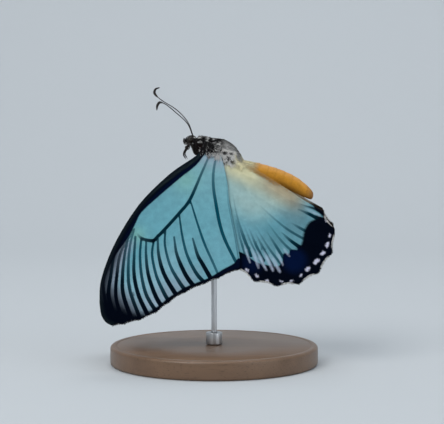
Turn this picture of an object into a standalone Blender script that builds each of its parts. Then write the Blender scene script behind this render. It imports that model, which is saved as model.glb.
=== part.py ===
"""A giant blue swallowtail butterfly, life-size, at the bottom of a wing stroke, held up by a display stand.

Body frame, in millimetres: the thorax's middle is at zero, +X runs to the tail, +Y to the butterfly's
right side and +Z up its back. One empty tips that frame nose up and lifts it over the stand's base.
A point of a wing is given flat, as (x, s): x along the body, and s outwards from the wing's hinge.
"""

import math

import bmesh
import bpy
import numpy as np
from mathutils import Matrix, Vector
from mathutils.geometry import delaunay_2d_cdt

MM = 0.001
# Clear space between pieces that meet
GAP = 0.3

# Pose
NOSE_UP = math.radians(15)
THORAX_HEIGHT = 91.0

# Display stand
BASE_DIAMETER = 88.0
BASE_THICKNESS = 8.0
BASE_EDGE_ROUND = 1.2
ROD_DIAMETER = 2.4
SOCKET_DIAMETER = 7.0
SOCKET_HEIGHT = 5.0

# Thorax: one row a station, with x, height of the middle, half width and half height
THORAX_START = -8.2
THORAX_END = 12.7
THORAX_STATIONS = (
    (THORAX_START, 0.7, 2.5, 2.5),
    (-7.4, 0.65, 3.1, 3.2),
    (-5.2, 0.15, 3.95, 4.25),
    (-1.5, -0.7, 4.5, 5.4),
    (2.8, -0.8, 4.7, 6.0),
    (6.8, -1.4, 4.6, 5.6),
    (10.0, -2.4, 3.9, 4.5),
    (12.0, -3.3, 3.1, 3.5),
    (THORAX_END, -3.7, 2.6, 2.8),
)
THORAX_RINGS = 14
# Abdomen: the middle line droops to the tip
ABDOMEN_START = THORAX_END + GAP
ABDOMEN_END = 45.5
ABDOMEN_RINGS = 9
ABDOMEN_GROOVE = 0.16
ABDOMEN_GROOVE_REACH = 0.5
# Places of the loft's rings in each of the abdomen's rings, and in the last one, which rounds off
ABDOMEN_SHARES = (0.0, 0.14, 0.86)
ABDOMEN_TIP_SHARES = (0.0, 0.3, 0.6, 0.85, 1.0)
ABDOMEN_STATIONS = (
    (ABDOMEN_START, -3.8, 2.6, 2.7),
    (16.0, -4.4, 3.2, 3.3),
    (22.0, -4.3, 3.6, 3.6),
    (29.0, -4.5, 3.6, 3.6),
    (36.0, -5.5, 3.3, 3.4),
    (41.5, -7.1, 2.6, 2.8),
    (44.6, -8.2, 1.5, 1.8),
    (ABDOMEN_END, -8.6, 0.5, 0.7),
)
HEAD_STATIONS = (
    (THORAX_START - GAP, 0.75, 2.4, 2.4),
    (-9.4, 0.9, 2.5, 2.4),
    (-10.6, 0.95, 2.45, 2.3),
    (-11.6, 0.8, 2.0, 1.9),
    (-12.4, 0.6, 1.3, 1.35),
    (-12.8, 0.5, 0.6, 0.7),
)
HEAD_RINGS = 11
EYE_RADIUS = 1.55
EYE_CENTRE = (-10.6, 1.75, 1.0)
EYE_SEGMENTS = 16
EYE_RINGS = 10
RING_SIDES = 24
HEAD_SIDES = 20
# Steps between two stations when the sizes are read between them
STATION_STEPS = 12

# Wings: hinge on the thorax's side, then a bend of SHOULDER_RADIUS from nearly level to hanging
HINGE_OUT = 4.2
HINGE_UP = 0.8
ROOT_ANGLE = math.radians(70)
HANG_ANGLE = math.radians(17)
SHOULDER_RADIUS = 6.0
SHOULDER_LENGTH = (ROOT_ANGLE - HANG_ANGLE) * SHOULDER_RADIUS
# The span curls slightly inwards
SPAN_RADIUS = 400.0
MEMBRANE = 0.5
FOREWING_LIFT = 1.15
HINDWING_LIFT = 0.0
ROOT_SUNK = -1.6
# Height and full width of a vein at the wing's root and at the margin
VEIN_HEIGHT = (0.28, 0.13)
VEIN_WIDTH = (1.1, 0.6)
VEIN_STEP = 5.0
MARGIN_STEP = 2.6
EDGE_STEP = 4.5
TIP_STEP = 1.5
VEIN_END_SHORT = 0.8
VEIN_SAMPLE_STEP = 0.4
SCALLOP_STEPS = 12
# Rows of points across the wing that let it bend, as shares of the shoulder's length
BEND_SHARES = (0.0, 0.25, 0.5, 0.75, 1.0, 1.6)
BEND_POINTS = 40
# How near two points may be before the triangulation joins them
JOIN_FLAT = 0.001

# Forewing: the ends of the veins on the outer margin, from the apex to the rear corner
FOREWING_SCALLOP = 0.45
FOREWING_TIP_FROM = 76.0
FOREWING_ENDS = {
    "R3": (-20.6, 84.0),
    "R4": (-16.2, 82.0),
    "R5": (-10.1, 78.4),
    "M1": (-4.6, 73.8),
    "M2": (-0.6, 68.5),
    "M3": (5.0, 62.6),
    "Cu1": (11.6, 57.3),
    "Cu2": (16.6, 53.4),
    "A2": (23.6, 47.9),
}
FOREWING_COSTA = (
    (-4.4, ROOT_SUNK), (-4.6, 3.0), (-6.2, 7.3), (-14.4, 17.4), (-23.0, 32.7),
    (-28.2, 50.0), (-29.9, 64.6), (-28.9, 73.3), (-26.5, 80.0),
    (-24.7, 82.4), (-22.8, 83.6), FOREWING_ENDS["R3"],
)
FOREWING_INNER = (
    FOREWING_ENDS["A2"], (23.2, 45.0), (19.0, 35.9), (12.8, 23.3), (9.4, 14.5), (5.6, 7.0),
    (2.9, 3.0), (2.6, ROOT_SUNK),
)
# The cell's two long sides, from the root out
FOREWING_RADIAL = ((-2.4, 0.0), (-4.4, 9.0), (-10.2, 18.4), (-16.2, 27.5), (-21.4, 35.9), (-22.4, 43.5))
FOREWING_CUBITAL = ((0.0, 0.0), (-1.8, 13.3), (-3.5, 25.6), (-6.3, 32.4), (-10.0, 39.9), (-13.3, 46.0))
FOREWING_VEINS = {
    "Sc": ((-3.4, 0.0), (-7.2, 11.0), (-16.5, 23.0), (-22.6, 33.5)),
    "R": FOREWING_RADIAL,
    "Cu": FOREWING_CUBITAL,
    "cell_end": (FOREWING_RADIAL[-1], (-18.7, 46.3), (-14.9, 46.4), FOREWING_CUBITAL[-1]),
    "R1": ((-16.2, 27.5), (-22.6, 37.5), (-26.6, 48.5)),
    "R2": ((-21.0, 35.2), (-26.0, 46.5), (-28.7, 60.0)),
    "R3": (FOREWING_RADIAL[-1], (-26.2, 53.0), (-27.2, 62.0), (-25.9, 73.0), FOREWING_ENDS["R3"]),
    "R4": ((-24.4, 48.0), (-24.6, 60.7), (-21.4, 74.0), FOREWING_ENDS["R4"]),
    "R5": (FOREWING_RADIAL[-1], (-22.4, 52.3), (-18.0, 65.6), FOREWING_ENDS["R5"]),
    "M1": ((-18.7, 46.3), (-16.0, 57.0), (-9.9, 68.1), FOREWING_ENDS["M1"]),
    "M2": (FOREWING_CUBITAL[-1], (-10.8, 55.6), (-4.9, 64.8), FOREWING_ENDS["M2"]),
    "M3": (FOREWING_CUBITAL[4], (-6.5, 48.8), (-0.8, 57.1), FOREWING_ENDS["M3"]),
    "Cu1": (FOREWING_CUBITAL[3], (-1.8, 42.4), (5.4, 51.7), FOREWING_ENDS["Cu1"]),
    "Cu2": (FOREWING_CUBITAL[2], (5.6, 38.3), (12.5, 48.0), FOREWING_ENDS["Cu2"]),
    "A2": ((1.5, 0.0), (3.0, 15.0), (10.2, 30.8), FOREWING_ENDS["A2"]),
}

# Hindwing: the ends of the veins, from the anal corner round to the front corner under the forewing
HINDWING_SCALLOP = 1.15
HINDWING_ENDS = {
    "A2": (50.6, 15.6),
    "Cu2": (57.6, 22.0),
    "Cu1": (58.6, 31.4),
    "M3": (55.4, 40.6),
    "M2": (48.9, 47.2),
    "M1": (40.4, 50.5),
    "Rs": (31.0, 51.0),
    "Sc": (22.2, 47.7),
}
HINDWING_INNER = (
    (8.8, ROOT_SUNK), (9.2, 2.2), (11.4, 4.9), (16.5, 6.0), (25.4, 8.7), (37.0, 12.2), HINDWING_ENDS["A2"],
)
HINDWING_COSTA = (
    HINDWING_ENDS["Sc"], (15.6, 42.0), (10.0, 34.0), (6.0, 25.0), (3.6, 15.0), (3.1, 7.0),
    (3.5, 2.5), (3.6, ROOT_SUNK),
)
HINDWING_RADIAL = ((5.4, 0.0), (6.6, 9.0), (9.6, 17.0), (14.5, 24.5))
HINDWING_CUBITAL = ((7.4, 0.0), (11.0, 8.6), (17.0, 14.6), (22.5, 19.0), (27.0, 24.0))
HINDWING_VEINS = {
    "R": HINDWING_RADIAL,
    "Cu": HINDWING_CUBITAL,
    "cell_end": (HINDWING_RADIAL[-1], (19.0, 27.6), (24.0, 27.6), HINDWING_CUBITAL[-1]),
    "Sc": ((4.6, 1.0), (5.6, 14.0), (9.0, 27.0), (14.4, 38.5), HINDWING_ENDS["Sc"]),
    "Rs": (HINDWING_RADIAL[-1], (20.6, 35.5), (26.2, 44.0), HINDWING_ENDS["Rs"]),
    "M1": ((19.0, 27.6), (27.4, 38.5), (34.4, 45.2), HINDWING_ENDS["M1"]),
    "M2": ((24.0, 27.6), (33.6, 36.8), (42.0, 43.0), HINDWING_ENDS["M2"]),
    "M3": (HINDWING_CUBITAL[-1], (37.8, 32.4), (47.6, 37.2), HINDWING_ENDS["M3"]),
    "Cu1": (HINDWING_CUBITAL[3], (37.0, 26.2), (48.4, 29.4), HINDWING_ENDS["Cu1"]),
    "Cu2": (HINDWING_CUBITAL[2], (32.0, 19.2), (46.0, 20.4), HINDWING_ENDS["Cu2"]),
    "A2": (HINDWING_CUBITAL[1], (22.0, 10.6), (36.0, 14.6), HINDWING_ENDS["A2"]),
}

# Feelers, mouth and legs: centre lines as (x, out from the middle plane, z)
ANTENNA_LINES = {
    "left": ((-9.7, 0.8, 2.5), (-13.5, 2.2, 7.5), (-19.2, 5.6, 10.8), (-23.6, 8.0, 12.9), (-26.2, 9.3, 13.2),
             (-26.9, 9.7, 11.6), (-26.6, 9.9, 9.7)),
    "right": ((-9.7, 0.8, 2.5), (-13.7, 2.2, 7.9), (-19.8, 5.6, 11.6), (-27.2, 8.6, 13.8), (-30.9, 9.8, 15.6),
              (-31.3, 10.2, 17.6), (-29.8, 10.3, 18.8)),
}
ANTENNA_POINTS = 24
ANTENNA_TIP_RADIUS = 0.2
# Below 1, the club is thickest nearer its tip
CLUB_LEAN = 0.8
ANTENNA_RADIUS = 0.28
CLUB_RADIUS = 0.62
CLUB_SHARE = 0.19
PALP_LINE = ((-11.4, 1.1, -0.7), (-12.3, 1.15, -0.9), (-12.9, 1.1, -0.1), (-13.1, 1.0, 0.8))
PALP_RADII = (0.45, 0.55, 0.42, 0.18)
PROBOSCIS_RADIUS = 0.25
PROBOSCIS_TURNS = 1.4
PROBOSCIS_TURN_POINTS = 16
PROBOSCIS_COIL = 1.2
PROBOSCIS_PITCH = 0.68
PROBOSCIS_CENTRE = (-11.2, -2.3)
LEG_LINES = {
    "fore": ((-5.8, 1.9, -3.0), (-7.0, 3.0, -3.7), (-10.1, 3.95, -0.4), (-11.5, 4.1, -3.9), (-11.5, 3.95, -5.6),
             (-10.4, 3.8, -6.7)),
    "mid": ((-1.0, 2.0, -5.2), (-1.6, 3.4, -7.0), (3.6, 5.6, -9.6), (8.0, 5.4, -12.6), (13.0, 4.8, -13.8),
            (15.4, 4.6, -13.6)),
    "hind": ((5.2, 1.8, -5.2), (5.4, 3.0, -7.0), (11.4, 4.9, -8.4), (17.6, 4.6, -10.8), (23.4, 4.0, -11.8),
             (26.0, 3.9, -11.6)),
}
LEG_RADII = (0.62, 0.62, 0.48, 0.36, 0.3, 0.26)
LEG_STEP = 1.3
FINE_STEP = 0.5
BASE_SEGMENTS = 48
SOCKET_SEGMENTS = 24
ROD_SEGMENTS = 16
EDGE_SEGMENTS = 2
# Distances at which points left by a curve or a cut are joined
CURVE_WELD = 0.01
CUT_WELD = 0.002

COLOURS = {
    "wing_blue": (0.14, 0.37, 0.45),
    "hair_black": (0.01, 0.012, 0.018),
    "abdomen_orange": (0.52, 0.24, 0.03),
    "eye": (0.03, 0.02, 0.015),
    "leg": (0.02, 0.016, 0.014),
    "wood": (0.2, 0.12, 0.07),
    "steel": (0.6, 0.6, 0.62),
}


def clear_scene():
    for obj in list(bpy.data.objects):
        bpy.data.objects.remove(obj)


def material(name, roughness, metallic=0.0):
    found = bpy.data.materials.get(name)
    if found:
        return found
    made = bpy.data.materials.new(name)
    made.use_nodes = True
    shader = made.node_tree.nodes["Principled BSDF"]
    shader.inputs["Base Color"].default_value = (*COLOURS[name], 1.0)
    shader.inputs["Roughness"].default_value = roughness
    shader.inputs["Metallic"].default_value = metallic
    return made


def smooth_line(points, steps=10):
    """A Catmull-Rom curve through the points, with the same number of steps in each span."""
    p = np.array(points, dtype=float)
    ends = np.vstack([2 * p[0] - p[1], p, 2 * p[-1] - p[-2]])
    t = np.linspace(0.0, 1.0, steps, endpoint=False)[:, None]
    spans = []
    for a, b, c, d in zip(ends[:-3], ends[1:-2], ends[2:-1], ends[3:]):
        spans.append(0.5 * (2 * b + (c - a) * t + (2 * a - 5 * b + 4 * c - d) * t**2
                            + (3 * b - a - 3 * c + d) * t**3))
    return np.vstack(spans + [p[-1:]])


def lengths_along(line):
    return np.concatenate([[0.0], np.cumsum(np.linalg.norm(np.diff(line, axis=0), axis=1))])


def spaced(line, step):
    """The same line with points about a step apart, its ends kept."""
    along = lengths_along(line)
    count = max(2, round(along[-1] / step) + 1)
    places = np.linspace(0.0, along[-1], count)
    return np.stack([np.interp(places, along, line[:, i]) for i in range(line.shape[1])], axis=1)


def side_of(line):
    """Unit vectors to the left of a flat line, one a point."""
    run = np.gradient(line, axis=0)
    run /= np.linalg.norm(run, axis=1)[:, None]
    return np.stack([-run[:, 1], run[:, 0]], axis=1)


def scalloped(ends, depth, inner_point):
    """The outer margin through the vein ends, with a shallow bay between each two."""
    line = smooth_line(list(ends), SCALLOP_STEPS)
    t = np.arange(len(line)) / SCALLOP_STEPS
    normal = side_of(line)
    inwards = np.sign(np.sum(normal * (np.array(inner_point) - line), axis=1))[:, None]
    return line + normal * inwards * depth * np.abs(np.sin(math.pi * t))[:, None]


def joined_runs(*runs):
    """One closed outline from runs that meet end to end, each with its own spacing."""
    points = []
    for line, step in runs:
        points.extend(spaced(line, step)[:-1])
    return np.array(points)


def forewing_outline():
    margin = scalloped(FOREWING_ENDS.values(), FOREWING_SCALLOP, FOREWING_CUBITAL[-1])
    sunk_root = np.array([FOREWING_INNER[-1], FOREWING_COSTA[0]])
    costa = smooth_line(FOREWING_COSTA)
    tip_start = np.argmax(costa[:, 1] > FOREWING_TIP_FROM)
    return joined_runs(
        (costa[:tip_start + 1], EDGE_STEP),
        (costa[tip_start:], TIP_STEP),
        (margin, MARGIN_STEP),
        (smooth_line(FOREWING_INNER), EDGE_STEP),
        (sunk_root, EDGE_STEP),
    )


def hindwing_outline():
    margin = scalloped(HINDWING_ENDS.values(), HINDWING_SCALLOP, HINDWING_CUBITAL[-1])
    sunk_root = np.array([HINDWING_COSTA[-1], HINDWING_INNER[0]])
    return joined_runs(
        (smooth_line(HINDWING_INNER), EDGE_STEP),
        (margin, MARGIN_STEP),
        (smooth_line(HINDWING_COSTA), EDGE_STEP),
        (sunk_root, EDGE_STEP),
    )


def fold(points, lift):
    """Flat wing points, as (x, s), onto the folded right wing, lifted off its mid surface by lift."""
    x, s = points[:, 0], points[:, 1]
    bent = np.clip(s, 0.0, SHOULDER_LENGTH)
    beyond = np.maximum(s - SHOULDER_LENGTH, 0.0)
    inside = np.minimum(s, 0.0)
    bend_angle = ROOT_ANGLE - bent / SHOULDER_RADIUS
    angle = bend_angle - beyond / SPAN_RADIUS
    out = HINGE_OUT + inside * math.sin(ROOT_ANGLE)
    out += SHOULDER_RADIUS * (np.cos(bend_angle) - math.cos(ROOT_ANGLE))
    out += SPAN_RADIUS * (np.cos(angle) - np.cos(bend_angle))
    up = HINGE_UP - inside * math.cos(ROOT_ANGLE)
    up -= SHOULDER_RADIUS * (math.sin(ROOT_ANGLE) - np.sin(bend_angle))
    up -= SPAN_RADIUS * (np.sin(bend_angle) - np.sin(angle))
    return np.stack([x, out + lift * np.cos(angle), up + lift * np.sin(angle)], axis=1)


def vein_ridge(points, veins):
    """Height of the veins over the membrane at flat points: a ridge as wide as the vein there."""
    height = np.zeros(len(points))
    for line in veins.values():
        dense = spaced(smooth_line(line), VEIN_SAMPLE_STEP)
        along = lengths_along(dense) / lengths_along(dense)[-1]
        apart = np.linalg.norm(points[:, None, :] - dense[None, :, :], axis=2)
        nearest = apart.argmin(axis=1)
        share = along[nearest]
        half = 0.5 * np.interp(share, [0.0, 1.0], VEIN_WIDTH)
        top = np.interp(share, [0.0, 1.0], VEIN_HEIGHT)
        rise = top * np.clip(1.0 - apart.min(axis=1) / half, 0.0, 1.0)
        height = np.maximum(height, rise)
    return height


def wing_lines(outline, veins):
    """Flat points and edges that the wing's triangles must keep: outline, veins and bends."""
    points = [tuple(p) for p in outline]
    edges = [(i, (i + 1) % len(outline)) for i in range(len(outline))]

    def add(line):
        start = len(points)
        points.extend(tuple(p) for p in line)
        edges.extend((start + i, start + i + 1) for i in range(len(line) - 1))

    for name, line in veins.items():
        dense = smooth_line(line)
        if name in ("cell_end", "R", "Cu"):
            crest = spaced(dense, VEIN_STEP)
        else:
            along = lengths_along(dense)
            keep = along < along[-1] - VEIN_END_SHORT
            crest = spaced(dense[keep], VEIN_STEP)
        share = np.linspace(0.0, 1.0, len(crest))
        half = 0.5 * np.interp(share, [0.0, 1.0], VEIN_WIDTH)[:, None]
        half[-1] *= 0.5
        add(crest)
        add(crest + side_of(crest) * half)
        add(crest - side_of(crest) * half)
    across = np.linspace(outline[:, 0].min(), outline[:, 0].max(), BEND_POINTS)
    for share in BEND_SHARES:
        s = share * SHOULDER_LENGTH
        add(np.array([(x, s) for x in across if inside_outline(x, s, outline)]))
    return points, edges


def inside_outline(x, s, outline):
    """Whether a flat point is inside a closed outline, by counting the edges to one side."""
    a, b = outline, np.roll(outline, -1, axis=0)
    spans = (a[:, 1] > s) != (b[:, 1] > s)
    a, b = a[spans], b[spans]
    crossing = a[:, 0] + (s - a[:, 1]) * (b[:, 0] - a[:, 0]) / (b[:, 1] - a[:, 1])
    return int(np.sum(crossing > x)) % 2 == 1


def wing(name, outline, veins, lift, side):
    """One wing: the same triangles on both faces, ridges on both, and a rim between them."""
    points, edges = wing_lines(outline, veins)
    ring = [list(range(len(outline)))]
    flat, _, triangles, _, _, _ = delaunay_2d_cdt([Vector(p) for p in points], edges, ring, 1, JOIN_FLAT)
    flat = np.array([tuple(p) for p in flat])
    raised = MEMBRANE / 2 + vein_ridge(flat, veins)
    mirror = np.array([1.0, side, 1.0])
    top = fold(flat, lift + raised) * mirror
    bottom = fold(flat, lift - raised) * mirror
    count = len(flat)
    uses = {}
    for t in triangles:
        for a, b in zip(t, t[1:] + t[:1]):
            uses[(a, b)] = True
    rim = [(a, b) for a, b in uses if (b, a) not in uses]
    faces = [tuple(t) for t in triangles]
    faces += [tuple(i + count for i in reversed(t)) for t in triangles]
    for a, b in rim:
        faces.append((b, a, a + count))
        faces.append((b, a + count, b + count))
    return mesh_object(name, np.vstack([top, bottom]), faces, material("wing_blue", 0.45))


def mesh_object(name, vertices, faces, surface):
    """An object from millimetre points in the body frame, closed and facing outwards."""
    mesh = bpy.data.meshes.new(name)
    mesh.from_pydata([tuple(v * MM) for v in vertices], [], faces)
    work = bmesh.new()
    work.from_mesh(mesh)
    bmesh.ops.delete(work, geom=[v for v in work.verts if not v.link_faces], context="VERTS")
    bmesh.ops.recalc_face_normals(work, faces=work.faces)
    work.to_mesh(mesh)
    work.free()
    mesh.materials.append(surface)
    return add_object(name, mesh)


def add_object(name, mesh):
    obj = bpy.data.objects.new(name, mesh)
    PARTS.objects.link(obj)
    obj.parent = POSE
    return obj


def station_sizes(stations, x):
    """Middle height, half width and half height at x, smooth between the stations."""
    table = smooth_line(stations, STATION_STEPS)
    table = table[np.argsort(table[:, 0])]
    return [np.interp(x, table[:, 0], table[:, i]) for i in (1, 2, 3)]


def lofted(name, stations, places, surface, grow=0.0, groove=None, sides=RING_SIDES):
    """A body of rounded rings at the given x places, with flat ends."""
    turn = np.linspace(0.0, 2 * math.pi, sides, endpoint=False)
    rings = []
    first, last = places[0], places[-1]
    for x in places:
        middle, wide, high = station_sizes(stations, x)
        inset = groove(x) if groove else 0.0
        reach = grow * np.sign(x - (first + last) / 2) if x in (first, last) else 0.0
        ring_x = np.full(sides, x + reach)
        rings.append(np.stack([ring_x, (wide + grow - inset) * np.cos(turn),
                               middle + (high + grow - inset) * np.sin(turn)], axis=1))
    faces = [tuple(range(sides)), tuple(reversed(range((len(rings) - 1) * sides, len(rings) * sides)))]
    for r in range(len(rings) - 1):
        for i in range(sides):
            a, b = r * sides + i, r * sides + (i + 1) % sides
            faces.append((a, b, b + sides, a + sides))
    return mesh_object(name, np.vstack(rings), faces, surface)


def close_spaced(start, end, count):
    """Places from start to end that crowd towards both ends, as a round end needs."""
    turn = np.linspace(0.0, math.pi, count)
    return start + (end - start) * (1.0 - np.cos(turn)) / 2


def tube(name, line, radii, surface, sides=8, step=1.2):
    """A tapered round limb along a smooth line, as a bevelled curve made into a mesh."""
    centre = smooth_line(line)
    along = lengths_along(centre)
    given = lengths_along(np.array(line, dtype=float))
    thick = np.interp(along / along[-1], given / given[-1], radii)
    packed = spaced(np.column_stack([centre, thick]), step)
    curve = bpy.data.curves.new(name, "CURVE")
    curve.dimensions = "3D"
    curve.bevel_depth = MM
    curve.bevel_resolution = sides // 2 - 2
    curve.use_fill_caps = True
    spline = curve.splines.new("POLY")
    spline.points.add(len(packed) - 1)
    for point, (x, y, z, r) in zip(spline.points, packed):
        point.co = (x * MM, y * MM, z * MM, 1.0)
        point.radius = r
    return curve_to_mesh(name, curve, surface)


def curve_to_mesh(name, curve, surface):
    holder = bpy.data.objects.new(name + "_curve", curve)
    bpy.context.scene.collection.objects.link(holder)
    mesh = bpy.data.meshes.new_from_object(holder.evaluated_get(bpy.context.evaluated_depsgraph_get()))
    bpy.data.objects.remove(holder)
    bpy.data.curves.remove(curve)
    work = bmesh.new()
    work.from_mesh(mesh)
    bmesh.ops.remove_doubles(work, verts=work.verts, dist=CURVE_WELD * MM)
    bmesh.ops.recalc_face_normals(work, faces=work.faces)
    work.to_mesh(mesh)
    work.free()
    mesh.name = name
    mesh.materials.clear()
    mesh.materials.append(surface)
    return add_object(name, mesh)


def cut_clear(obj, *cutters):
    """Cuts the object back from grown copies of its neighbours and keeps its largest piece."""
    for cutter in cutters:
        modifier = obj.modifiers.new("clear", "BOOLEAN")
        modifier.operation = "DIFFERENCE"
        modifier.solver = "EXACT"
        modifier.object = cutter
    graph = bpy.context.evaluated_depsgraph_get()
    mesh = bpy.data.meshes.new_from_object(obj.evaluated_get(graph))
    obj.modifiers.clear()
    obj.data = mesh
    keep_largest(mesh)


def keep_largest(mesh):
    work = bmesh.new()
    work.from_mesh(mesh)
    bmesh.ops.remove_doubles(work, verts=work.verts, dist=CUT_WELD * MM)
    bmesh.ops.dissolve_degenerate(work, edges=work.edges, dist=CUT_WELD * MM)
    left = set(work.faces)
    groups = []
    while left:
        queue = [left.pop()]
        group = []
        while queue:
            face = queue.pop()
            group.append(face)
            for edge in face.edges:
                for other in edge.link_faces:
                    if other in left:
                        left.remove(other)
                        queue.append(other)
        groups.append(group)
    groups.sort(key=lambda g: sum(f.calc_area() for f in g))
    scraps = [f for g in groups[:-1] for f in g]
    bmesh.ops.delete(work, geom=scraps, context="FACES")
    bmesh.ops.triangulate(work, faces=work.faces)
    work.to_mesh(mesh)
    work.free()


def helper(obj):
    """Keeps a cutter out of the finished object."""
    obj.hide_render = True
    obj.display_type = "WIRE"
    return obj


def make_body():
    black = material("hair_black", 0.8)
    thorax_places = close_spaced(THORAX_STATIONS[0][0], THORAX_STATIONS[-1][0], THORAX_RINGS)
    lofted("thorax", THORAX_STATIONS, thorax_places, black)
    head_places = close_spaced(HEAD_STATIONS[0][0], HEAD_STATIONS[-1][0], HEAD_RINGS)
    head = lofted("head", HEAD_STATIONS, head_places, black, sides=HEAD_SIDES)
    grown_thorax = helper(lofted("thorax_cutter", THORAX_STATIONS, thorax_places, black, grow=GAP))
    grown_head = helper(lofted("head_cutter", HEAD_STATIONS, head_places, black, grow=GAP, sides=HEAD_SIDES))
    make_abdomen()
    return head, grown_thorax, grown_head


def make_abdomen():
    ring = (ABDOMEN_END - ABDOMEN_START) / ABDOMEN_RINGS

    def groove(x):
        share = ((x - ABDOMEN_START) / ring) % 1.0
        near = min(share, 1.0 - share) * ring
        inner = ABDOMEN_START < x < ABDOMEN_END - ring / 2
        return ABDOMEN_GROOVE * max(0.0, 1.0 - near / ABDOMEN_GROOVE_REACH) if inner else 0.0

    places = []
    for i in range(ABDOMEN_RINGS):
        start = ABDOMEN_START + i * ring
        shares = ABDOMEN_SHARES if i < ABDOMEN_RINGS - 1 else ABDOMEN_TIP_SHARES
        places += [start + share * ring for share in shares]
    lofted("abdomen", ABDOMEN_STATIONS, places, material("abdomen_orange", 0.6), groove=groove)


def make_eyes(head):
    dark = material("eye", 0.25)
    for side, name in ((-1, "eye_left"), (1, "eye_right")):
        x, out, z = EYE_CENTRE
        for eye_name, radius in ((name, EYE_RADIUS), (name + "_cutter", EYE_RADIUS + GAP)):
            work = bmesh.new()
            bmesh.ops.create_uvsphere(work, u_segments=EYE_SEGMENTS, v_segments=EYE_RINGS, radius=radius * MM)
            mesh = bpy.data.meshes.new(eye_name)
            work.to_mesh(mesh)
            work.free()
            mesh.transform(Matrix.Translation(Vector((x, side * out, z)) * MM))
            mesh.materials.append(dark)
            eye = add_object(eye_name, mesh)
        cut_clear(head, helper(eye))


def mirrored(line, side):
    return [(x, side * out, z) for x, out, z in line]


def make_head_parts(grown_head):
    dark = material("leg", 0.5)
    for side, name in ((-1, "left"), (1, "right")):
        line = ANTENNA_LINES[name]
        path = lengths_along(smooth_line(line))
        places = np.linspace(0.0, 1.0, ANTENNA_POINTS)
        club = np.clip((places - (1.0 - CLUB_SHARE)) / CLUB_SHARE, 0.0, 1.0)
        radii = ANTENNA_RADIUS + (CLUB_RADIUS - ANTENNA_RADIUS) * np.sin(math.pi * club**CLUB_LEAN)
        radii[-1] = ANTENNA_TIP_RADIUS
        even = spaced(smooth_line(mirrored(line, side)), path[-1] / (ANTENNA_POINTS - 1))
        antenna = tube("antenna_" + name, even, radii, dark)
        cut_clear(antenna, grown_head)
        palp = tube("palp_" + name, mirrored(PALP_LINE, side), PALP_RADII, dark, step=FINE_STEP)
        cut_clear(palp, grown_head)
    turn = np.linspace(0.0, 2 * math.pi * PROBOSCIS_TURNS, round(PROBOSCIS_TURN_POINTS * PROBOSCIS_TURNS))
    coil = PROBOSCIS_COIL - PROBOSCIS_PITCH * turn / (2 * math.pi)
    x = PROBOSCIS_CENTRE[0] + coil * np.sin(turn)
    z = PROBOSCIS_CENTRE[1] + coil * np.cos(turn)
    line = np.stack([x, np.zeros(len(turn)), z], axis=1)
    proboscis = tube("proboscis", line, [PROBOSCIS_RADIUS] * len(turn), dark, step=FINE_STEP)
    cut_clear(proboscis, grown_head)


def make_legs(grown_thorax):
    dark = material("leg", 0.5)
    for side, name in ((-1, "left"), (1, "right")):
        for pair, line in LEG_LINES.items():
            leg = tube(f"leg_{pair}_{name}", mirrored(line, side), LEG_RADII, dark, step=LEG_STEP)
            cut_clear(leg, grown_thorax)


def make_wings(grown_thorax):
    for side, name in ((-1, "left"), (1, "right")):
        fore = wing("forewing_" + name, forewing_outline(), FOREWING_VEINS, FOREWING_LIFT, side)
        cut_clear(fore, grown_thorax)
        hind = wing("hindwing_" + name, hindwing_outline(), HINDWING_VEINS, HINDWING_LIFT, side)
        cut_clear(hind, grown_thorax)


def turned(name, radius, bottom, top, segments, surface, edge=0.0):
    """An upright round piece of the stand, in the world's own frame."""
    work = bmesh.new()
    bmesh.ops.create_cone(work, cap_ends=True, segments=segments, radius1=radius * MM, radius2=radius * MM,
                          depth=(top - bottom) * MM)
    mesh = bpy.data.meshes.new(name)
    work.to_mesh(mesh)
    work.free()
    mesh.materials.append(surface)
    obj = bpy.data.objects.new(name, mesh)
    obj.location = (0.0, 0.0, (top + bottom) / 2 * MM)
    PARTS.objects.link(obj)
    if edge:
        bevel = obj.modifiers.new("edge", "BEVEL")
        bevel.width = edge * MM
        bevel.segments = EDGE_SEGMENTS
        bevel.limit_method = "ANGLE"
    return obj


def make_stand(grown_thorax):
    wood = material("wood", 0.5)
    steel = material("steel", 0.3, metallic=1.0)
    turned("stand_base", BASE_DIAMETER / 2, 0.0, BASE_THICKNESS, BASE_SEGMENTS, wood, edge=BASE_EDGE_ROUND)
    socket_bottom = BASE_THICKNESS + GAP
    socket_top = socket_bottom + SOCKET_HEIGHT
    turned("stand_socket", SOCKET_DIAMETER / 2, socket_bottom, socket_top, SOCKET_SEGMENTS, steel)
    rod = turned("stand_rod", ROD_DIAMETER / 2, socket_top + GAP, THORAX_HEIGHT, ROD_SEGMENTS, steel)
    cut_clear(rod, grown_thorax)


clear_scene()
PARTS = bpy.data.collections.new("swallowtail")
bpy.context.scene.collection.children.link(PARTS)
POSE = bpy.data.objects.new("body_pose", None)
PARTS.objects.link(POSE)
POSE.location = (0.0, 0.0, THORAX_HEIGHT * MM)
POSE.rotation_euler = (0.0, NOSE_UP, 0.0)
bpy.context.view_layer.update()

body_head, thorax_cutter, head_cutter = make_body()
make_eyes(body_head)
make_head_parts(head_cutter)
make_legs(thorax_cutter)
make_wings(thorax_cutter)
make_stand(thorax_cutter)
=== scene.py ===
# %% [markdown]
# # A giant blue swallowtail on a display stand
# The butterfly is caught at the bottom of a wing stroke. Its left wings hang towards the viewer and show
# their blue upper side, the nose points up to the left, and the orange abdomen trails behind. The packed
# solids give the true places and sizes, so the script loads them first and fits every fine piece to them.

# %% Load the solids and the tools
import math

import bmesh
import bpy
import numpy as np
from mathutils import Matrix, Vector
from mathutils.geometry import delaunay_2d_cdt


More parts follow.
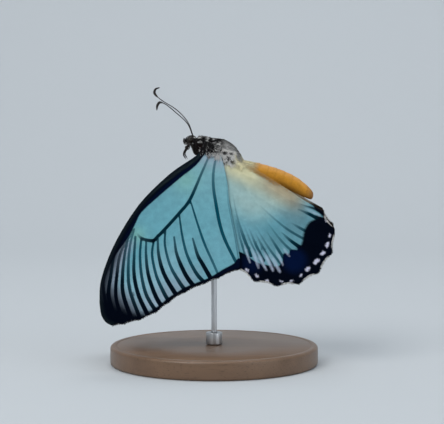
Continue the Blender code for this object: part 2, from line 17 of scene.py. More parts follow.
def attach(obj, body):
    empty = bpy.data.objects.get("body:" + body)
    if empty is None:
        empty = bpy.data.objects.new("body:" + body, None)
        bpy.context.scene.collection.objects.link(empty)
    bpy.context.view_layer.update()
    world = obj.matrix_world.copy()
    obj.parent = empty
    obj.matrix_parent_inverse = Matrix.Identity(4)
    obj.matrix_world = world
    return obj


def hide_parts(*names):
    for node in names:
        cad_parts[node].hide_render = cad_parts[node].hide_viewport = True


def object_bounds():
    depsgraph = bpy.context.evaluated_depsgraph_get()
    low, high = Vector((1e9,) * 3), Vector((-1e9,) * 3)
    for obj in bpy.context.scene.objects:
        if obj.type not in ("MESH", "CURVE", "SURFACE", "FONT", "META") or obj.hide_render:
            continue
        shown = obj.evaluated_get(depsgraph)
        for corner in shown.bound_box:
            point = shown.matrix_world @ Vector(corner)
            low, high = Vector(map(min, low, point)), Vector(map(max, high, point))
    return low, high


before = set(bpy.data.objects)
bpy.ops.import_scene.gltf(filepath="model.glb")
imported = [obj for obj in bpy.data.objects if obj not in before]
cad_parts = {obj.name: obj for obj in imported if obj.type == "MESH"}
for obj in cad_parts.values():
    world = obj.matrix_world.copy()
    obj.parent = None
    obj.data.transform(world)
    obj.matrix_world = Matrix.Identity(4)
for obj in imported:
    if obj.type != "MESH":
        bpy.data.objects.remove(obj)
CAD_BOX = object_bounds()
print("solids:", len(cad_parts), "nodes, box", CAD_BOX)

# %% [markdown]
# ## The body frame
# Everything on the animal is easier to place in the animal's own frame, in millimetres: +X runs to the tail,
# +Y to its right and +Z up its back. One matrix then tips the nose up and lifts the whole animal to its
# height over the floor, so each finished mesh can keep its object at the origin.

# %% Body frame
MM = 0.001
NOSE_UP = math.radians(15)
THORAX_HEIGHT = 91.0
POSE = Matrix.Translation((0, 0, THORAX_HEIGHT * MM)) @ Matrix.Rotation(NOSE_UP, 4, "Y") @ Matrix.Scale(MM, 4)
# The left side faces -Y, and the right side +Y
SIDES = ((-1, "left"), (1, "right"))


def to_world(points):
    """Body points in millimetres as world points in metres."""
    turn = np.array(POSE)
    return np.asarray(points, dtype=float) @ turn[:3, :3].T + turn[:3, 3]


def keep_inside(mesh):
    """Holds a mesh within the solids' box, which no fine piece may leave."""
    flat = np.empty(len(mesh.vertices) * 3, dtype=np.float32)
    mesh.vertices.foreach_get("co", flat)
    held = np.clip(flat.reshape(-1, 3), CAD_BOX[0], CAD_BOX[1])
    mesh.vertices.foreach_set("co", held.astype(np.float32).ravel())
    mesh.update()


print("thorax middle:", to_world([[0, 0, 0]])[0])

# %% [markdown]
# ## Camera
# The photo shows the left side nearly square on, from a long way off. A short lens from close by would show
# the far wings beside the near ones. A long lens from far away keeps them hidden, as they are in the photo.
# The target is the point at the picture's middle.

# %% Camera
FRAME_WIDTH_PX = 444
MM_PER_PX = 0.422
VIEW_AZIMUTH = math.radians(3.0)
VIEW_ELEVATION = math.radians(4.0)
CAMERA_DISTANCE = 650.0
VIEW_TARGET = Vector((3.35, 0.0, 64.4))
SENSOR_WIDTH = 36.0
NEAREST_SEEN = 0.01


def add_object(name, data):
    made = bpy.data.objects.new(name, data)
    bpy.context.scene.collection.objects.link(made)
    return made


camera_data = bpy.data.cameras.new("camera")
camera_data.sensor_width = SENSOR_WIDTH
camera_data.lens = SENSOR_WIDTH * CAMERA_DISTANCE / (FRAME_WIDTH_PX * MM_PER_PX)
camera_data.clip_start = NEAREST_SEEN
camera = add_object("camera", camera_data)
back = Vector((
    math.sin(VIEW_AZIMUTH) * math.cos(VIEW_ELEVATION),
    -math.cos(VIEW_AZIMUTH) * math.cos(VIEW_ELEVATION),
    math.sin(VIEW_ELEVATION),
))
camera.location = (VIEW_TARGET + back * CAMERA_DISTANCE) * MM
camera.rotation_euler = back.to_track_quat("Z", "Y").to_euler()
bpy.context.scene.camera = camera
print("lens:", round(camera_data.lens, 1), "mm")

# %% [markdown]
# ## Materials
# Each finish is a small node tree. It could be clicked together in the shader editor, but in a script a few
# helpers say the same in less space: one adds a node and fills its inputs, one lays a colour over another
# where a mask is 1, and one turns noise into numbers between two ends.

# %% Node helpers
MIX_MASK, MIX_UNDER, MIX_OVER, MIX_RESULT = 0, 6, 7, 2


def new_material(name, roughness, **values):
    """A material with a Principled shader, and its tree and shader."""
    made = bpy.data.materials.new(name)
    made.use_nodes = True
    shader = made.node_tree.nodes["Principled BSDF"]
    shader.inputs["Roughness"].default_value = roughness
    for label, value in values.items():
        shader.inputs[label.replace("_", " ")].default_value = value
    return made, made.node_tree, shader


def add_node(tree, kind, inputs=None, **settings):
    """A node with its settings made and its inputs linked or filled in."""
    node = tree.nodes.new(kind)
    for name, value in settings.items():
        setattr(node, name, value)
    for key, value in (inputs or {}).items():
        if isinstance(value, bpy.types.NodeSocket):
            tree.links.new(value, node.inputs[key])
        else:
            node.inputs[key].default_value = value
    return node


def math_node(tree, operation, a, b):
    return add_node(tree, "ShaderNodeMath", {0: a, 1: b}, operation=operation).outputs[0]


def scaled(tree, vector, factor):
    """A colour or a vector times a number."""
    return add_node(tree, "ShaderNodeVectorMath", {0: vector, "Scale": factor}, operation="SCALE").outputs[0]


def field_value(tree, name):
    """A number that the mesh carries at each point."""
    return add_node(tree, "ShaderNodeAttribute", attribute_name=name).outputs["Fac"]


def object_place(tree):
    """Object coordinates, which stay with the piece."""
    return add_node(tree, "ShaderNodeTexCoord").outputs["Object"]

# %% Masks and noise
NOISE_SPAN = (0.3, 0.7)


def ranged(tree, value, low, high, to_low, to_high):
    """A value between low and high as one between two other ends, and held there."""
    ends = {"Value": value, "From Min": low, "From Max": high, "To Min": to_low, "To Max": to_high}
    return add_node(tree, "ShaderNodeMapRange", ends, clamp=True).outputs[0]


def inside_mask(tree, value, soft):
    """1 where the value is below zero, 0 above, over a soft edge."""
    return ranged(tree, value, -soft, soft, 1.0, 0.0)


def lay_over(tree, under, over, mask):
    """One colour over another where the mask is 1."""
    inputs = {MIX_MASK: mask, MIX_UNDER: under, MIX_OVER: over}
    return add_node(tree, "ShaderNodeMix", inputs, data_type="RGBA").outputs[MIX_RESULT]


def noise(tree, scale, detail=2.0, stretch=(1, 1, 1)):
    """Noise on Object coordinates, with its scale in features to a metre."""
    mapped = add_node(tree, "ShaderNodeMapping", {"Vector": object_place(tree), "Scale": stretch}).outputs[0]
    inputs = {"Vector": mapped, "Scale": scale, "Detail": detail}
    return add_node(tree, "ShaderNodeTexNoise", inputs).outputs["Fac"]


def noise_between(tree, low, high, scale, detail=2.0, span=NOISE_SPAN):
    """Noise as numbers from low to high; span is the part of its own range that is used."""
    return ranged(tree, noise(tree, scale, detail), *span, low, high)


def add_bump(tree, shader, height, strength, distance):
    bump = add_node(tree, "ShaderNodeBump", {"Height": height, "Strength": strength, "Distance": distance})
    tree.links.new(bump.outputs[0], shader.inputs["Normal"])


print("node helpers ready")

# %% [markdown]
# ## Lines and outlines
# A wing's margins and veins are smooth curves through a few measured points. Blender's own curves could carry
# them, but the script needs distances to them at each point of a mesh, so they are kept as plain numbers. One
# function makes the curve, one sets points on it at an even step, and one tells how far a point lies from it.

# %% Line helpers
TINY = 1e-12


def smooth_line(points, steps=10):
    """A Catmull-Rom curve through the points, with the same number of steps in each span."""
    p = np.array(list(points), dtype=float)
    ends = np.vstack([2 * p[0] - p[1], p, 2 * p[-1] - p[-2]])
    t = np.linspace(0.0, 1.0, steps, endpoint=False)[:, None]
    spans = []
    for a, b, c, d in zip(ends[:-3], ends[1:-2], ends[2:-1], ends[3:]):
        cubic = (3 * b - a - 3 * c + d) * t**3
        square = (2 * a - 5 * b + 4 * c - d) * t**2
        spans.append(0.5 * (2 * b + (c - a) * t + square + cubic))
    return np.vstack(spans + [p[-1:]])


def lengths_along(line):
    return np.concatenate([[0.0], np.cumsum(np.linalg.norm(np.diff(line, axis=0), axis=1))])


def spaced(line, step):
    """The same line with points about a step apart, its ends kept."""
    along = lengths_along(line)
    places = np.linspace(0.0, along[-1], max(2, round(along[-1] / step) + 1))
    return np.stack([np.interp(places, along, line[:, i]) for i in range(line.shape[1])], axis=1)


def unit(vectors):
    """Vectors of length 1, one a row."""
    return vectors / np.linalg.norm(vectors, axis=1)[:, None]


def side_of(line):
    """Unit vectors to the left of a flat line, one a point."""
    run = unit(np.gradient(line, axis=0))
    return np.stack([-run[:, 1], run[:, 0]], axis=1)

# %% Distances
def distance_to(points, line):
    """How far each point is from a dense line, and how far along it the nearest place is, from 0 to 1."""
    share = lengths_along(line) / lengths_along(line)[-1]
    best = np.full(len(points), np.inf)
    place = np.zeros(len(points))
    for start, step, low, high in zip(line[:-1], np.diff(line, axis=0), share[:-1], share[1:]):
        t = np.clip((points - start) @ step / max(step @ step, TINY), 0.0, 1.0)
        apart = np.linalg.norm(points - start - t[:, None] * step, axis=1)
        closer = apart < best
        best[closer] = apart[closer]
        place[closer] = (low + (high - low) * t)[closer]
    return best, place


def inside(points, outline):
    """Whether each point is inside a closed outline."""
    a = outline
    b = np.roll(outline, -1, axis=0)
    s = points[:, 1][:, None]
    spans = (a[None, :, 1] > s) != (b[None, :, 1] > s)
    rise = np.where(b[:, 1] == a[:, 1], 1.0, b[:, 1] - a[:, 1])
    crossing = a[:, 0] + (s - a[:, 1]) * (b[:, 0] - a[:, 0]) / rise
    return (np.sum(spans & (crossing > points[:, 0][:, None]), axis=1) % 2).astype(bool)


def inner_distance(points, corners):
    """Distance to a smooth closed shape: positive inside it and negative outside."""
    closed = smooth_line([*corners, corners[0]], steps=6)
    apart, _ = distance_to(points, closed)
    return np.where(inside(points, closed), apart, -apart)


print("line helpers ready")

# %% [markdown]
# ## Closed shapes from rings
# The body, the legs, the eyes and the stand are all rings of points joined by faces and closed at both ends,
# as a potter builds with coils. The faces follow one rule, so one function makes them for every such shape.

# %% Ring faces


def ring_faces(rows, sides):
    """Faces between each ring of points and the next."""
    faces = []
    for r in range(rows - 1):
        for i in range(sides):
            a, b = r * sides + i, r * sides + (i + 1) % sides
            faces.append((a, b, b + sides, a + sides))
    return faces


def closed_rings(rows, sides):
    """The same, closed with two fans to the two points that follow the last ring."""
    first, last, end = rows * sides, rows * sides + 1, (rows - 1) * sides
    faces = ring_faces(rows, sides)
    faces += [(i, (i + 1) % sides, first) for i in range(sides)]
    faces += [(end + i, end + (i + 1) % sides, last) for i in range(sides)]
    return faces


def circle_turns(sides):
    return [2 * math.pi * i / sides for i in range(sides)]


print("faces of a closed tube of 3 rings of 8:", len(closed_rings(3, 8)))

# %% [markdown]
# ## The wings' plan
# Both wings are drawn flat, as (x, s): x runs along the body and s outwards from the hinge on the thorax.
# The outer margin runs from vein end to vein end, with a shallow bay between each two. The outlines match
# the solids, but for the hindwing's inner edge, which is up to 1 mm nearer to the body to meet its wool.

# %% Forewing plan
ROOT_SUNK = -1.6
FORE_SCALLOP = 0.45
FORE_ENDS = {
    "R3": (-20.6, 84.0),
    "R4": (-16.2, 82.0),
    "R5": (-10.1, 78.4),
    "M1": (-4.6, 73.8),
    "M2": (-0.6, 68.5),
    "M3": (5.0, 62.6),
    "Cu1": (11.6, 57.3),
    "Cu2": (16.6, 53.4),
    "A2": (23.6, 47.9),
}
FORE_COSTA = (
    (-4.4, ROOT_SUNK), (-4.6, 3.0), (-6.2, 7.3), (-14.4, 17.4), (-23.0, 32.7),
    (-28.2, 50.0), (-29.9, 64.6), (-28.9, 73.3), (-26.5, 80.0),
    (-24.7, 82.4), (-22.8, 83.6), FORE_ENDS["R3"],
)
FORE_INNER = (
    FORE_ENDS["A2"], (23.2, 45.0), (19.0, 35.9), (12.8, 23.3), (9.4, 14.5), (5.6, 7.0),
    (2.9, 3.0), (2.6, ROOT_SUNK),
)
FORE_RADIAL = ((-2.4, 0.0), (-4.4, 9.0), (-10.2, 18.4), (-16.2, 27.5), (-21.4, 35.9), (-22.4, 43.5))
FORE_CUBITAL = ((0.0, 0.0), (-1.8, 13.3), (-3.5, 25.6), (-6.3, 32.4), (-10.0, 39.9), (-13.3, 46.0))
FORE_VEINS = {
    "Sc": ((-3.4, 0.0), (-7.2, 11.0), (-16.5, 23.0), (-22.6, 33.5)),
    "R": FORE_RADIAL,
    "Cu": FORE_CUBITAL,
    "cell_end": (FORE_RADIAL[-1], (-18.7, 46.3), (-14.9, 46.4), FORE_CUBITAL[-1]),
    "R1": ((-16.2, 27.5), (-22.6, 37.5), (-26.6, 48.5)),
    "R2": ((-21.0, 35.2), (-26.0, 46.5), (-28.7, 60.0)),
    "R3": (FORE_RADIAL[-1], (-26.2, 50.0), (-28.5, 60.9), (-28.2, 70.0), FORE_ENDS["R3"]),
    "R4": (FORE_RADIAL[-1], (-25.0, 53.5), (-24.3, 62.5), (-22.0, 72.5), FORE_ENDS["R4"]),
    "R5": (FORE_RADIAL[-1], (-22.2, 50.3), (-20.7, 58.4), (-17.4, 68.0), FORE_ENDS["R5"]),
    "M1": ((-18.5, 46.4), (-17.2, 53.1), (-14.4, 60.9), (-10.3, 68.2), FORE_ENDS["M1"]),
    "M2": (FORE_CUBITAL[-1], (-12.4, 51.8), (-8.6, 59.3), (-4.2, 64.8), FORE_ENDS["M2"]),
    "M3": (FORE_CUBITAL[4], (-8.4, 46.5), (-4.2, 53.9), (1.0, 59.3), FORE_ENDS["M3"]),
    "Cu1": (FORE_CUBITAL[3], (-2.7, 40.7), (1.5, 48.1), (7.0, 54.2), FORE_ENDS["Cu1"]),
    "Cu2": (FORE_CUBITAL[2], (2.5, 35.0), (7.5, 42.2), (13.2, 49.1), FORE_ENDS["Cu2"]),
    "A2": ((1.5, 0.0), (3.2, 14.0), (7.5, 25.0), (13.5, 36.2), FORE_ENDS["A2"]),
}
print("forewing:", len(FORE_VEINS), "veins")

# %% [markdown]
# ## The forewing's markings
# The dark lines are of two kinds. Veins start thin and teal and widen to black at the margin, and between
# each two a streak does the same, which gives the striped look. They could be painted on a map, but a map
# has pixels. Here each line is its path with three widths, three strengths and three degrees of blackness,
# at its start, middle and end. The blue field is a closed shape: outside it, along the front edge, the tip
# and the outer edge, the wing is black.

# %% Forewing markings
HIDDEN = ((0.1, 0.1, 0.1), (0.0, 0.0, 0.0), (0.0, 0.0, 0.0))
FORE_VEIN_LOOKS = {
    # half widths, strengths, blackness
    "Sc": HIDDEN, "R": HIDDEN, "R1": HIDDEN, "R2": HIDDEN,
    "Cu": ((0.26, 0.56, 0.58), (0.5, 1.0, 1.0), (0.0, 0.6, 0.8)),
    "cell_end": ((0.15, 0.50, 0.60), (-0.6, 0.9, 1.0), (0.3, 0.8, 0.95)),
    "R3": ((0.25, 0.5, 0.6), (0.4, 0.9, 1.0), (0.8, 1.0, 1.0)),
    "R4": ((0.3, 0.56, 0.7), (0.5, 1.0, 1.0), (0.5, 0.95, 1.0)),
    "R5": ((0.34, 0.52, 0.68), (0.7, 0.95, 1.0), (0.1, 0.5, 1.0)),
    "M1": ((0.36, 0.52, 0.72), (0.95, 0.95, 1.0), (0.3, 0.4, 1.0)),
    "M2": ((0.36, 0.50, 0.72), (0.95, 0.95, 1.0), (0.4, 0.2, 0.95)),
    "M3": ((0.32, 0.46, 0.74), (0.95, 0.9, 1.0), (0.6, 0.1, 0.95)),
    "Cu1": ((0.28, 0.46, 0.70), (0.95, 0.92, 1.0), (0.5, 0.05, 0.9)),
    "Cu2": ((0.26, 0.42, 0.42), (0.95, 0.95, 0.75), (0.3, 0.0, 0.1)),
    "A2": ((0.34, 0.58, 0.52), (0.5, 1.0, 0.95), (0.0, 0.1, 0.2)),
}
LATE_STREAK = ((0.30, 0.66, 0.80), (0.8, 1.0, 1.0), (0.4, 0.9, 1.0))
SLIM_STREAK = ((0.34, 0.62, 0.80), (0.85, 1.0, 1.0), (0.3, 0.9, 1.0))
REAR_STREAK = ((0.1, 0.2, 0.22), (0.0, 0.5, 0.55), (0.0, 0.1, 0.2))
FORE_STREAKS = (
    (((1.9, 40.9), (5.6, 46.9), (8.9, 50.3), (14.2, 55.6)), LATE_STREAK),
    (((-5.7, 42.3), (-2.5, 49.2), (3.1, 56.1), (8.2, 60.2)), LATE_STREAK),
    (((-12.4, 43.3), (-9.8, 51.1), (-5.3, 58.4), (2.1, 65.6)), LATE_STREAK),
    (((-16.3, 46.9), (-14.8, 52.5), (-11.7, 60.1), (-6.8, 67.3), (-2.6, 71.5)), SLIM_STREAK),
    (((-21.0, 46.4), (-19.5, 53.8), (-17.3, 61.7), (-13.4, 69.1), (-7.4, 76.2)), SLIM_STREAK),
    (((-23.8, 48.0), (-23.3, 54.8), (-21.9, 62.9), (-19.4, 70.7), (-13.2, 79.8)), SLIM_STREAK),
    (((-27.1, 52.0), (-27.3, 57.2), (-26.5, 64.2), (-25.2, 72.3), (-20.6, 80.4)), SLIM_STREAK),
    (((6.4, 9.6), (9.0, 14.6), (12.3, 23.3), (18.5, 35.9), (22.6, 45.0)), REAR_STREAK),
)
FORE_FIELD = (
    (-1.0, -4.0), (-3.9, 9.0), (-9.9, 18.2), (-15.9, 27.3), (-21.1, 35.7), (-22.4, 41.0), (-23.2, 45.5),
    (-24.6, 50.0), (-26.8, 56.0), (-28.4, 62.0), (-28.6, 68.0), (-27.0, 73.4), (-22.9, 76.0), (-18.4, 76.3),
    (-14.4, 76.9), (-10.2, 75.9), (-6.2, 73.2), (-3.6, 70.2), (-1.2, 66.8), (1.2, 64.2), (4.0, 61.2),
    (7.1, 58.8), (10.3, 56.5), (13.0, 54.4), (15.4, 51.9), (17.4, 49.7), (19.4, 47.9), (21.2, 46.0),
    (22.6, 43.6), (30.0, 43.0), (26.0, 10.0), (12.0, -5.0),
)
print("forewing:", len(FORE_STREAKS), "streaks")

# %% [markdown]
# ## The hindwing's plan and markings
# The hindwing is short and broad, with deeper bays in its margin. Its lines are soft and start only half way
# out. In the black border there are pale rays, which carry the blue on between the lines, and a row of white
# spots. All of them are drawn like the forewing's, as paths with widths, so one set of functions reads both.

# %% Hindwing plan
HIND_SCALLOP = 1.15
HIND_ENDS = {
    "A2": (50.6, 15.6),
    "Cu2": (57.6, 22.0),
    "Cu1": (58.6, 31.4),
    "M3": (55.4, 40.6),
    "M2": (48.9, 47.2),
    "M1": (40.4, 50.5),
    "Rs": (31.0, 51.0),
    "Sc": (22.2, 47.7),
}
HIND_INNER = (
    (8.8, ROOT_SUNK), (9.2, 2.2), (11.4, 4.7), (16.5, 5.4), (25.4, 7.9), (34.0, 10.4), (41.5, 13.0),
    HIND_ENDS["A2"],
)
HIND_COSTA = (
    HIND_ENDS["Sc"], (15.6, 42.0), (10.0, 34.0), (6.0, 25.0), (3.6, 15.0), (3.1, 7.0),
    (3.5, 2.5), (3.6, ROOT_SUNK),
)
HIND_RADIAL = ((5.4, 0.0), (6.6, 9.0), (9.6, 17.0), (14.5, 24.5))
HIND_CUBITAL = ((7.4, 0.0), (11.0, 8.6), (17.0, 14.6), (22.5, 19.0), (27.0, 24.0))
HIND_VEINS = {
    "R": HIND_RADIAL,
    "Cu": HIND_CUBITAL,
    "cell_end": (HIND_RADIAL[-1], (19.0, 27.6), (24.0, 27.6), HIND_CUBITAL[-1]),
    "Sc": ((4.6, 1.0), (5.6, 14.0), (9.0, 27.0), (14.4, 38.5), HIND_ENDS["Sc"]),
    "Rs": (HIND_RADIAL[-1], (20.6, 35.5), (26.2, 44.0), HIND_ENDS["Rs"]),
    "M1": ((19.0, 27.6), (27.4, 38.5), (34.4, 45.2), HIND_ENDS["M1"]),
    "M2": ((24.0, 27.6), (33.6, 36.8), (42.0, 43.0), HIND_ENDS["M2"]),
    "M3": (HIND_CUBITAL[-1], (37.8, 32.4), (47.6, 37.2), HIND_ENDS["M3"]),
    "Cu1": (HIND_CUBITAL[3], (37.0, 26.2), (48.4, 29.4), HIND_ENDS["Cu1"]),
    "Cu2": (HIND_CUBITAL[2], (32.0, 19.2), (46.0, 20.4), HIND_ENDS["Cu2"]),
    "A2": (HIND_CUBITAL[1], (22.0, 10.6), (36.0, 14.6), HIND_ENDS["A2"]),
}
print("hindwing:", len(HIND_VEINS), "veins")

# %% Hindwing lines
SOFT_VEIN = ((0.18, 0.42, 0.5), (-0.1, 0.75, 1.0), (0.0, 0.0, 0.9))
HIND_HIDDEN = ("R", "Cu", "cell_end", "A2", "Cu2")
HIND_VEIN_LOOKS = {name: HIDDEN if name in HIND_HIDDEN else SOFT_VEIN for name in HIND_VEINS}
SOFT_STREAK = ((0.18, 0.46, 0.54), (0.05, 0.8, 1.0), (0.0, 0.0, 0.5))
BOLD_STREAK = ((0.20, 0.55, 0.75), (0.3, 1.0, 1.0), (0.0, 0.5, 1.0))
LONG_STREAK = ((0.16, 0.34, 0.4), (0.1, 0.5, 0.75), (0.0, 0.0, 0.3))
INNER_STREAK = ((0.1, 0.34, 0.42), (0.1, 0.85, 1.0), (0.3, 0.8, 1.0))
HIND_STREAKS = (
    (((13.1, 18.9), (15.2, 23.5), (17.8, 28.4), (21.1, 34.0), (24.5, 38.7)), LONG_STREAK),
    (((16.8, 26.6), (20.7, 32.8), (23.5, 36.8), (26.9, 41.4)), SOFT_STREAK),
    (((23.2, 30.7), (27.1, 35.8), (30.8, 40.2), (32.4, 42.0)), SOFT_STREAK),
    (((26.0, 31.6), (30.2, 36.3), (33.9, 40.4), (36.4, 42.8)), SOFT_STREAK),
    (((30.2, 29.7), (34.6, 33.7), (38.6, 37.4), (41.6, 40.0)), SOFT_STREAK),
    (((36.6, 28.7), (41.2, 31.1), (46.6, 33.1)), BOLD_STREAK),
    (((39.2, 23.7), (43.4, 24.9), (47.4, 25.8)), SOFT_STREAK),
    (((40.6, 17.5), (42.9, 17.8), (45.9, 18.3), (50.4, 19.4)), BOLD_STREAK),
    (((40.8, 15.2), (43.4, 15.3), (46.9, 15.5), (50.2, 16.2)), INNER_STREAK),
)
print("hindwing:", len(HIND_STREAKS), "streaks")

# %% Hindwing field, rays and spots
HIND_FIELD = (
    (5.0, -4.0), (2.0, 14.0), (8.0, 33.0), (17.0, 41.0), (22.4, 41.0), (25.5, 41.8), (28.0, 42.8),
    (30.5, 43.4), (33.0, 43.4), (35.5, 43.2), (38.0, 42.8), (39.5, 41.8), (39.9, 39.6), (39.5, 36.9),
    (40.3, 36.5), (42.0, 36.4), (41.6, 35.2), (42.8, 34.3), (44.6, 33.9), (44.0, 32.9), (45.3, 32.1),
    (45.7, 29.9), (45.4, 27.4), (45.5, 24.3), (46.4, 21.7), (48.2, 19.9), (50.0, 18.9), (48.0, 17.9),
    (51.4, 17.9), (49.6, 16.8), (47.4, 15.6), (45.4, 13.6), (41.0, 12.0), (37.4, 8.0), (24.0, -2.0),
)
# Each ray is its path with its half widths; one that starts below zero fades in
HIND_RAYS = (
    (((21.6, 35.2), (24.3, 39.8), (27.2, 44.2)), (-0.5, 0.42, 0.12)),
    (((24.4, 35.7), (28.4, 41.1), (31.2, 45.4)), (-0.5, 0.66, 0.18)),
    (((27.3, 36.9), (31.1, 41.7), (34.6, 45.6)), (-0.5, 0.68, 0.16)),
    (((29.5, 36.1), (33.6, 40.7), (37.2, 44.9)), (-0.5, 0.68, 0.28)),
    (((32.0, 36.3), (36.7, 41.1), (40.0, 44.6)), (-0.5, 0.62, 0.36)),
    (((34.6, 34.9), (38.2, 38.9), (40.6, 41.7)), (-0.5, 0.46, 0.1)),
    (((37.4, 33.6), (40.8, 36.4), (42.2, 37.4)), (-0.5, 0.36, 0.06)),
    (((41.2, 15.9), (45.8, 16.8), (50.0, 17.7)), (-0.3, 0.36, 0.16)),
)
# Each spot is a short line with its half width: x, s, x, s, half width
HIND_SPOTS = (
    (55.9, 24.4, 56.0, 25.2, 0.42), (56.1, 28.1, 56.0, 29.2, 0.6), (55.3, 32.2, 54.9, 32.8, 0.66),
    (53.8, 36.0, 53.1, 37.1, 0.76), (51.0, 40.1, 50.5, 40.9, 0.64), (49.0, 43.6, 48.7, 44.0, 0.4),
    (46.1, 46.7, 45.2, 47.2, 0.24), (42.1, 48.1, 41.2, 48.3, 0.26), (36.3, 49.4, 35.4, 49.5, 0.3),
    (31.8, 48.9, 30.8, 48.6, 0.42), (27.3, 47.7, 26.3, 47.3, 0.4), (52.6, 18.9, 53.0, 19.3, 0.22),
)
print("hindwing:", len(HIND_RAYS), "rays,", len(HIND_SPOTS), "spots")

# %% [markdown]
# ## Folding a flat wing
# The wing leaves the thorax nearly level, bends down over a tight shoulder and hangs with a slight inward
# curl. A Simple Deform modifier could bend a finished wing, but fringes and hairs would each need it too. A
# formula that also bends the solids puts wings, fringes and hairs in the right place at once.

# %% Fold
HINGE_OUT = 4.2
HINGE_UP = 0.8
ROOT_ANGLE = math.radians(70)
HANG_ANGLE = math.radians(17)
SHOULDER_RADIUS = 6.0
SHOULDER_LENGTH = (ROOT_ANGLE - HANG_ANGLE) * SHOULDER_RADIUS
SPAN_RADIUS = 400.0
FORE_LIFT = 1.15
HIND_LIFT = 0.0


def fold(points, lift):
    """Flat wing points onto the folded right wing, lifted off its mid surface by lift."""
    x, s = points[:, 0], points[:, 1]
    bent = np.clip(s, 0.0, SHOULDER_LENGTH)
    beyond = np.maximum(s - SHOULDER_LENGTH, 0.0)
    sunk = np.minimum(s, 0.0)
    bend_angle = ROOT_ANGLE - bent / SHOULDER_RADIUS
    angle = bend_angle - beyond / SPAN_RADIUS
    out = HINGE_OUT + sunk * math.sin(ROOT_ANGLE)
    out += SHOULDER_RADIUS * (np.cos(bend_angle) - math.cos(ROOT_ANGLE))
    out += SPAN_RADIUS * (np.cos(angle) - np.cos(bend_angle))
    up = HINGE_UP - sunk * math.cos(ROOT_ANGLE)
    up -= SHOULDER_RADIUS * (math.sin(ROOT_ANGLE) - np.sin(bend_angle))
    up -= SPAN_RADIUS * (np.sin(bend_angle) - np.sin(angle))
    return np.stack([x, out + lift * np.cos(angle), up + lift * np.sin(angle)], axis=1)


tip_mm = fold(np.array([FORE_ENDS["R3"]]), FORE_LIFT)[0]
print("right wing tip:", np.round(tip_mm, 1))

# %% [markdown]
# ## Margins
# The real margin has a shallow bay between each two vein ends. Each bay could be cut out with a circle.
# Here a smooth curve through the ends is pushed inwards by a half wave in each gap, which needs one depth.

# %% Flat outline
BAY_STEPS = 24
OUTLINE_STEP = 0.7


def scalloped(ends, depth, inner_point):
    """The outer margin through the vein ends, with a shallow bay between each two."""
    line = smooth_line(ends, BAY_STEPS)
    t = np.arange(len(line)) / BAY_STEPS
    normal = side_of(line)
    inwards = np.sign(np.sum(normal * (np.array(inner_point) - line), axis=1))[:, None]
    return line + normal * inwards * depth * np.abs(np.sin(math.pi * t))[:, None]


def outline_of(first, ends, scallop, inner_point, last):
    """A wing's closed outline: one edge, the scalloped margin, the other edge and the root."""
    margin = scalloped(ends.values(), scallop, inner_point)
    runs = (smooth_line(first), margin, smooth_line(last), np.array([last[-1], first[0]], dtype=float))
    return np.vstack([spaced(run, OUTLINE_STEP)[:-1] for run in runs])


FORE_OUTLINE = outline_of(FORE_COSTA, FORE_ENDS, FORE_SCALLOP, FORE_CUBITAL[-1], FORE_INNER)
HIND_OUTLINE = outline_of(HIND_INNER, HIND_ENDS, HIND_SCALLOP, HIND_CUBITAL[-1], HIND_COSTA)
print("outline points:", len(FORE_OUTLINE), len(HIND_OUTLINE))

# %% [markdown]
# ## The fine wing mesh
# The markings are lines with sharp edges, up to 2 mm wide. Rather than a very dense grid, the points are
# set where the pattern needs them: along each vein, on both sides of each streak, round each spot, and
# loosely between. A constrained triangulation joins them. It is one way to get crisp lines cheaply.

# %% Points where the pattern needs them
LINE_STEP = 0.7
FILL_STEP = 0.8
FILL_ROW = 0.87
VEIN_BESIDE = (0.3, 0.65)
STREAK_BESIDE_SHARE = 0.8
STREAK_BESIDE_GAP = 0.2
SPOT_SIDES = 14
SPOT_MIDDLES = (0.0, 0.5, 1.0)
SPOT_RINGS = (0.0, 0.55, 0.85, 1.15)


def line_points(kept, edges, outline, veins, streaks):
    """Puts points and edges on each vein and streak, and returns the loose points beside them."""
    loose = []
    paths = [(line, VEIN_BESIDE) for line in veins.values()]
    for line, looks in streaks:
        end_width = looks[0][2]
        paths.append((line, (end_width * STREAK_BESIDE_SHARE, end_width + STREAK_BESIDE_GAP)))
    for line, beside in paths:
        centre = spaced(smooth_line(line), LINE_STEP)
        centre = centre[inside(centre, outline)]
        start = len(kept)
        kept.extend(tuple(p) for p in centre)
        edges.extend((start + i, start + i + 1) for i in range(len(centre) - 1))
        for apart in beside:
            loose.append(centre + side_of(centre) * apart)
            loose.append(centre - side_of(centre) * apart)
    return loose


def spot_points(spots):
    """Rings of loose points round the start, middle and end of each spot."""
    loose = []
    turn = np.linspace(0.0, 2 * math.pi, SPOT_SIDES, endpoint=False)
    for x0, s0, x1, s1, half in spots:
        for part in SPOT_MIDDLES:
            middle = np.array([x0 + (x1 - x0) * part, s0 + (s1 - s0) * part])
            for share in SPOT_RINGS:
                ring = turn if share else turn[:1]
                loose.append(middle + half * share * np.stack([np.cos(ring), np.sin(ring)], axis=1))
    return loose


def fill_points(outline):
    """Staggered rows of loose points over the whole wing."""
    low, high = outline.min(axis=0), outline.max(axis=0)
    loose = []
    for i, s in enumerate(np.arange(low[1], high[1], FILL_STEP * FILL_ROW)):
        xs = np.arange(low[0] + (i % 2) * FILL_STEP / 2, high[0], FILL_STEP)
        loose.append(np.stack([xs, np.full(len(xs), s)], axis=1))
    return loose


print("fill rows are", round(FILL_STEP * FILL_ROW, 2), "mm apart")

# %% Flat triangles
CLEAR_STEP = 0.32
MERGE_REACH = 1e-4
INNER_TRIANGLES = 1


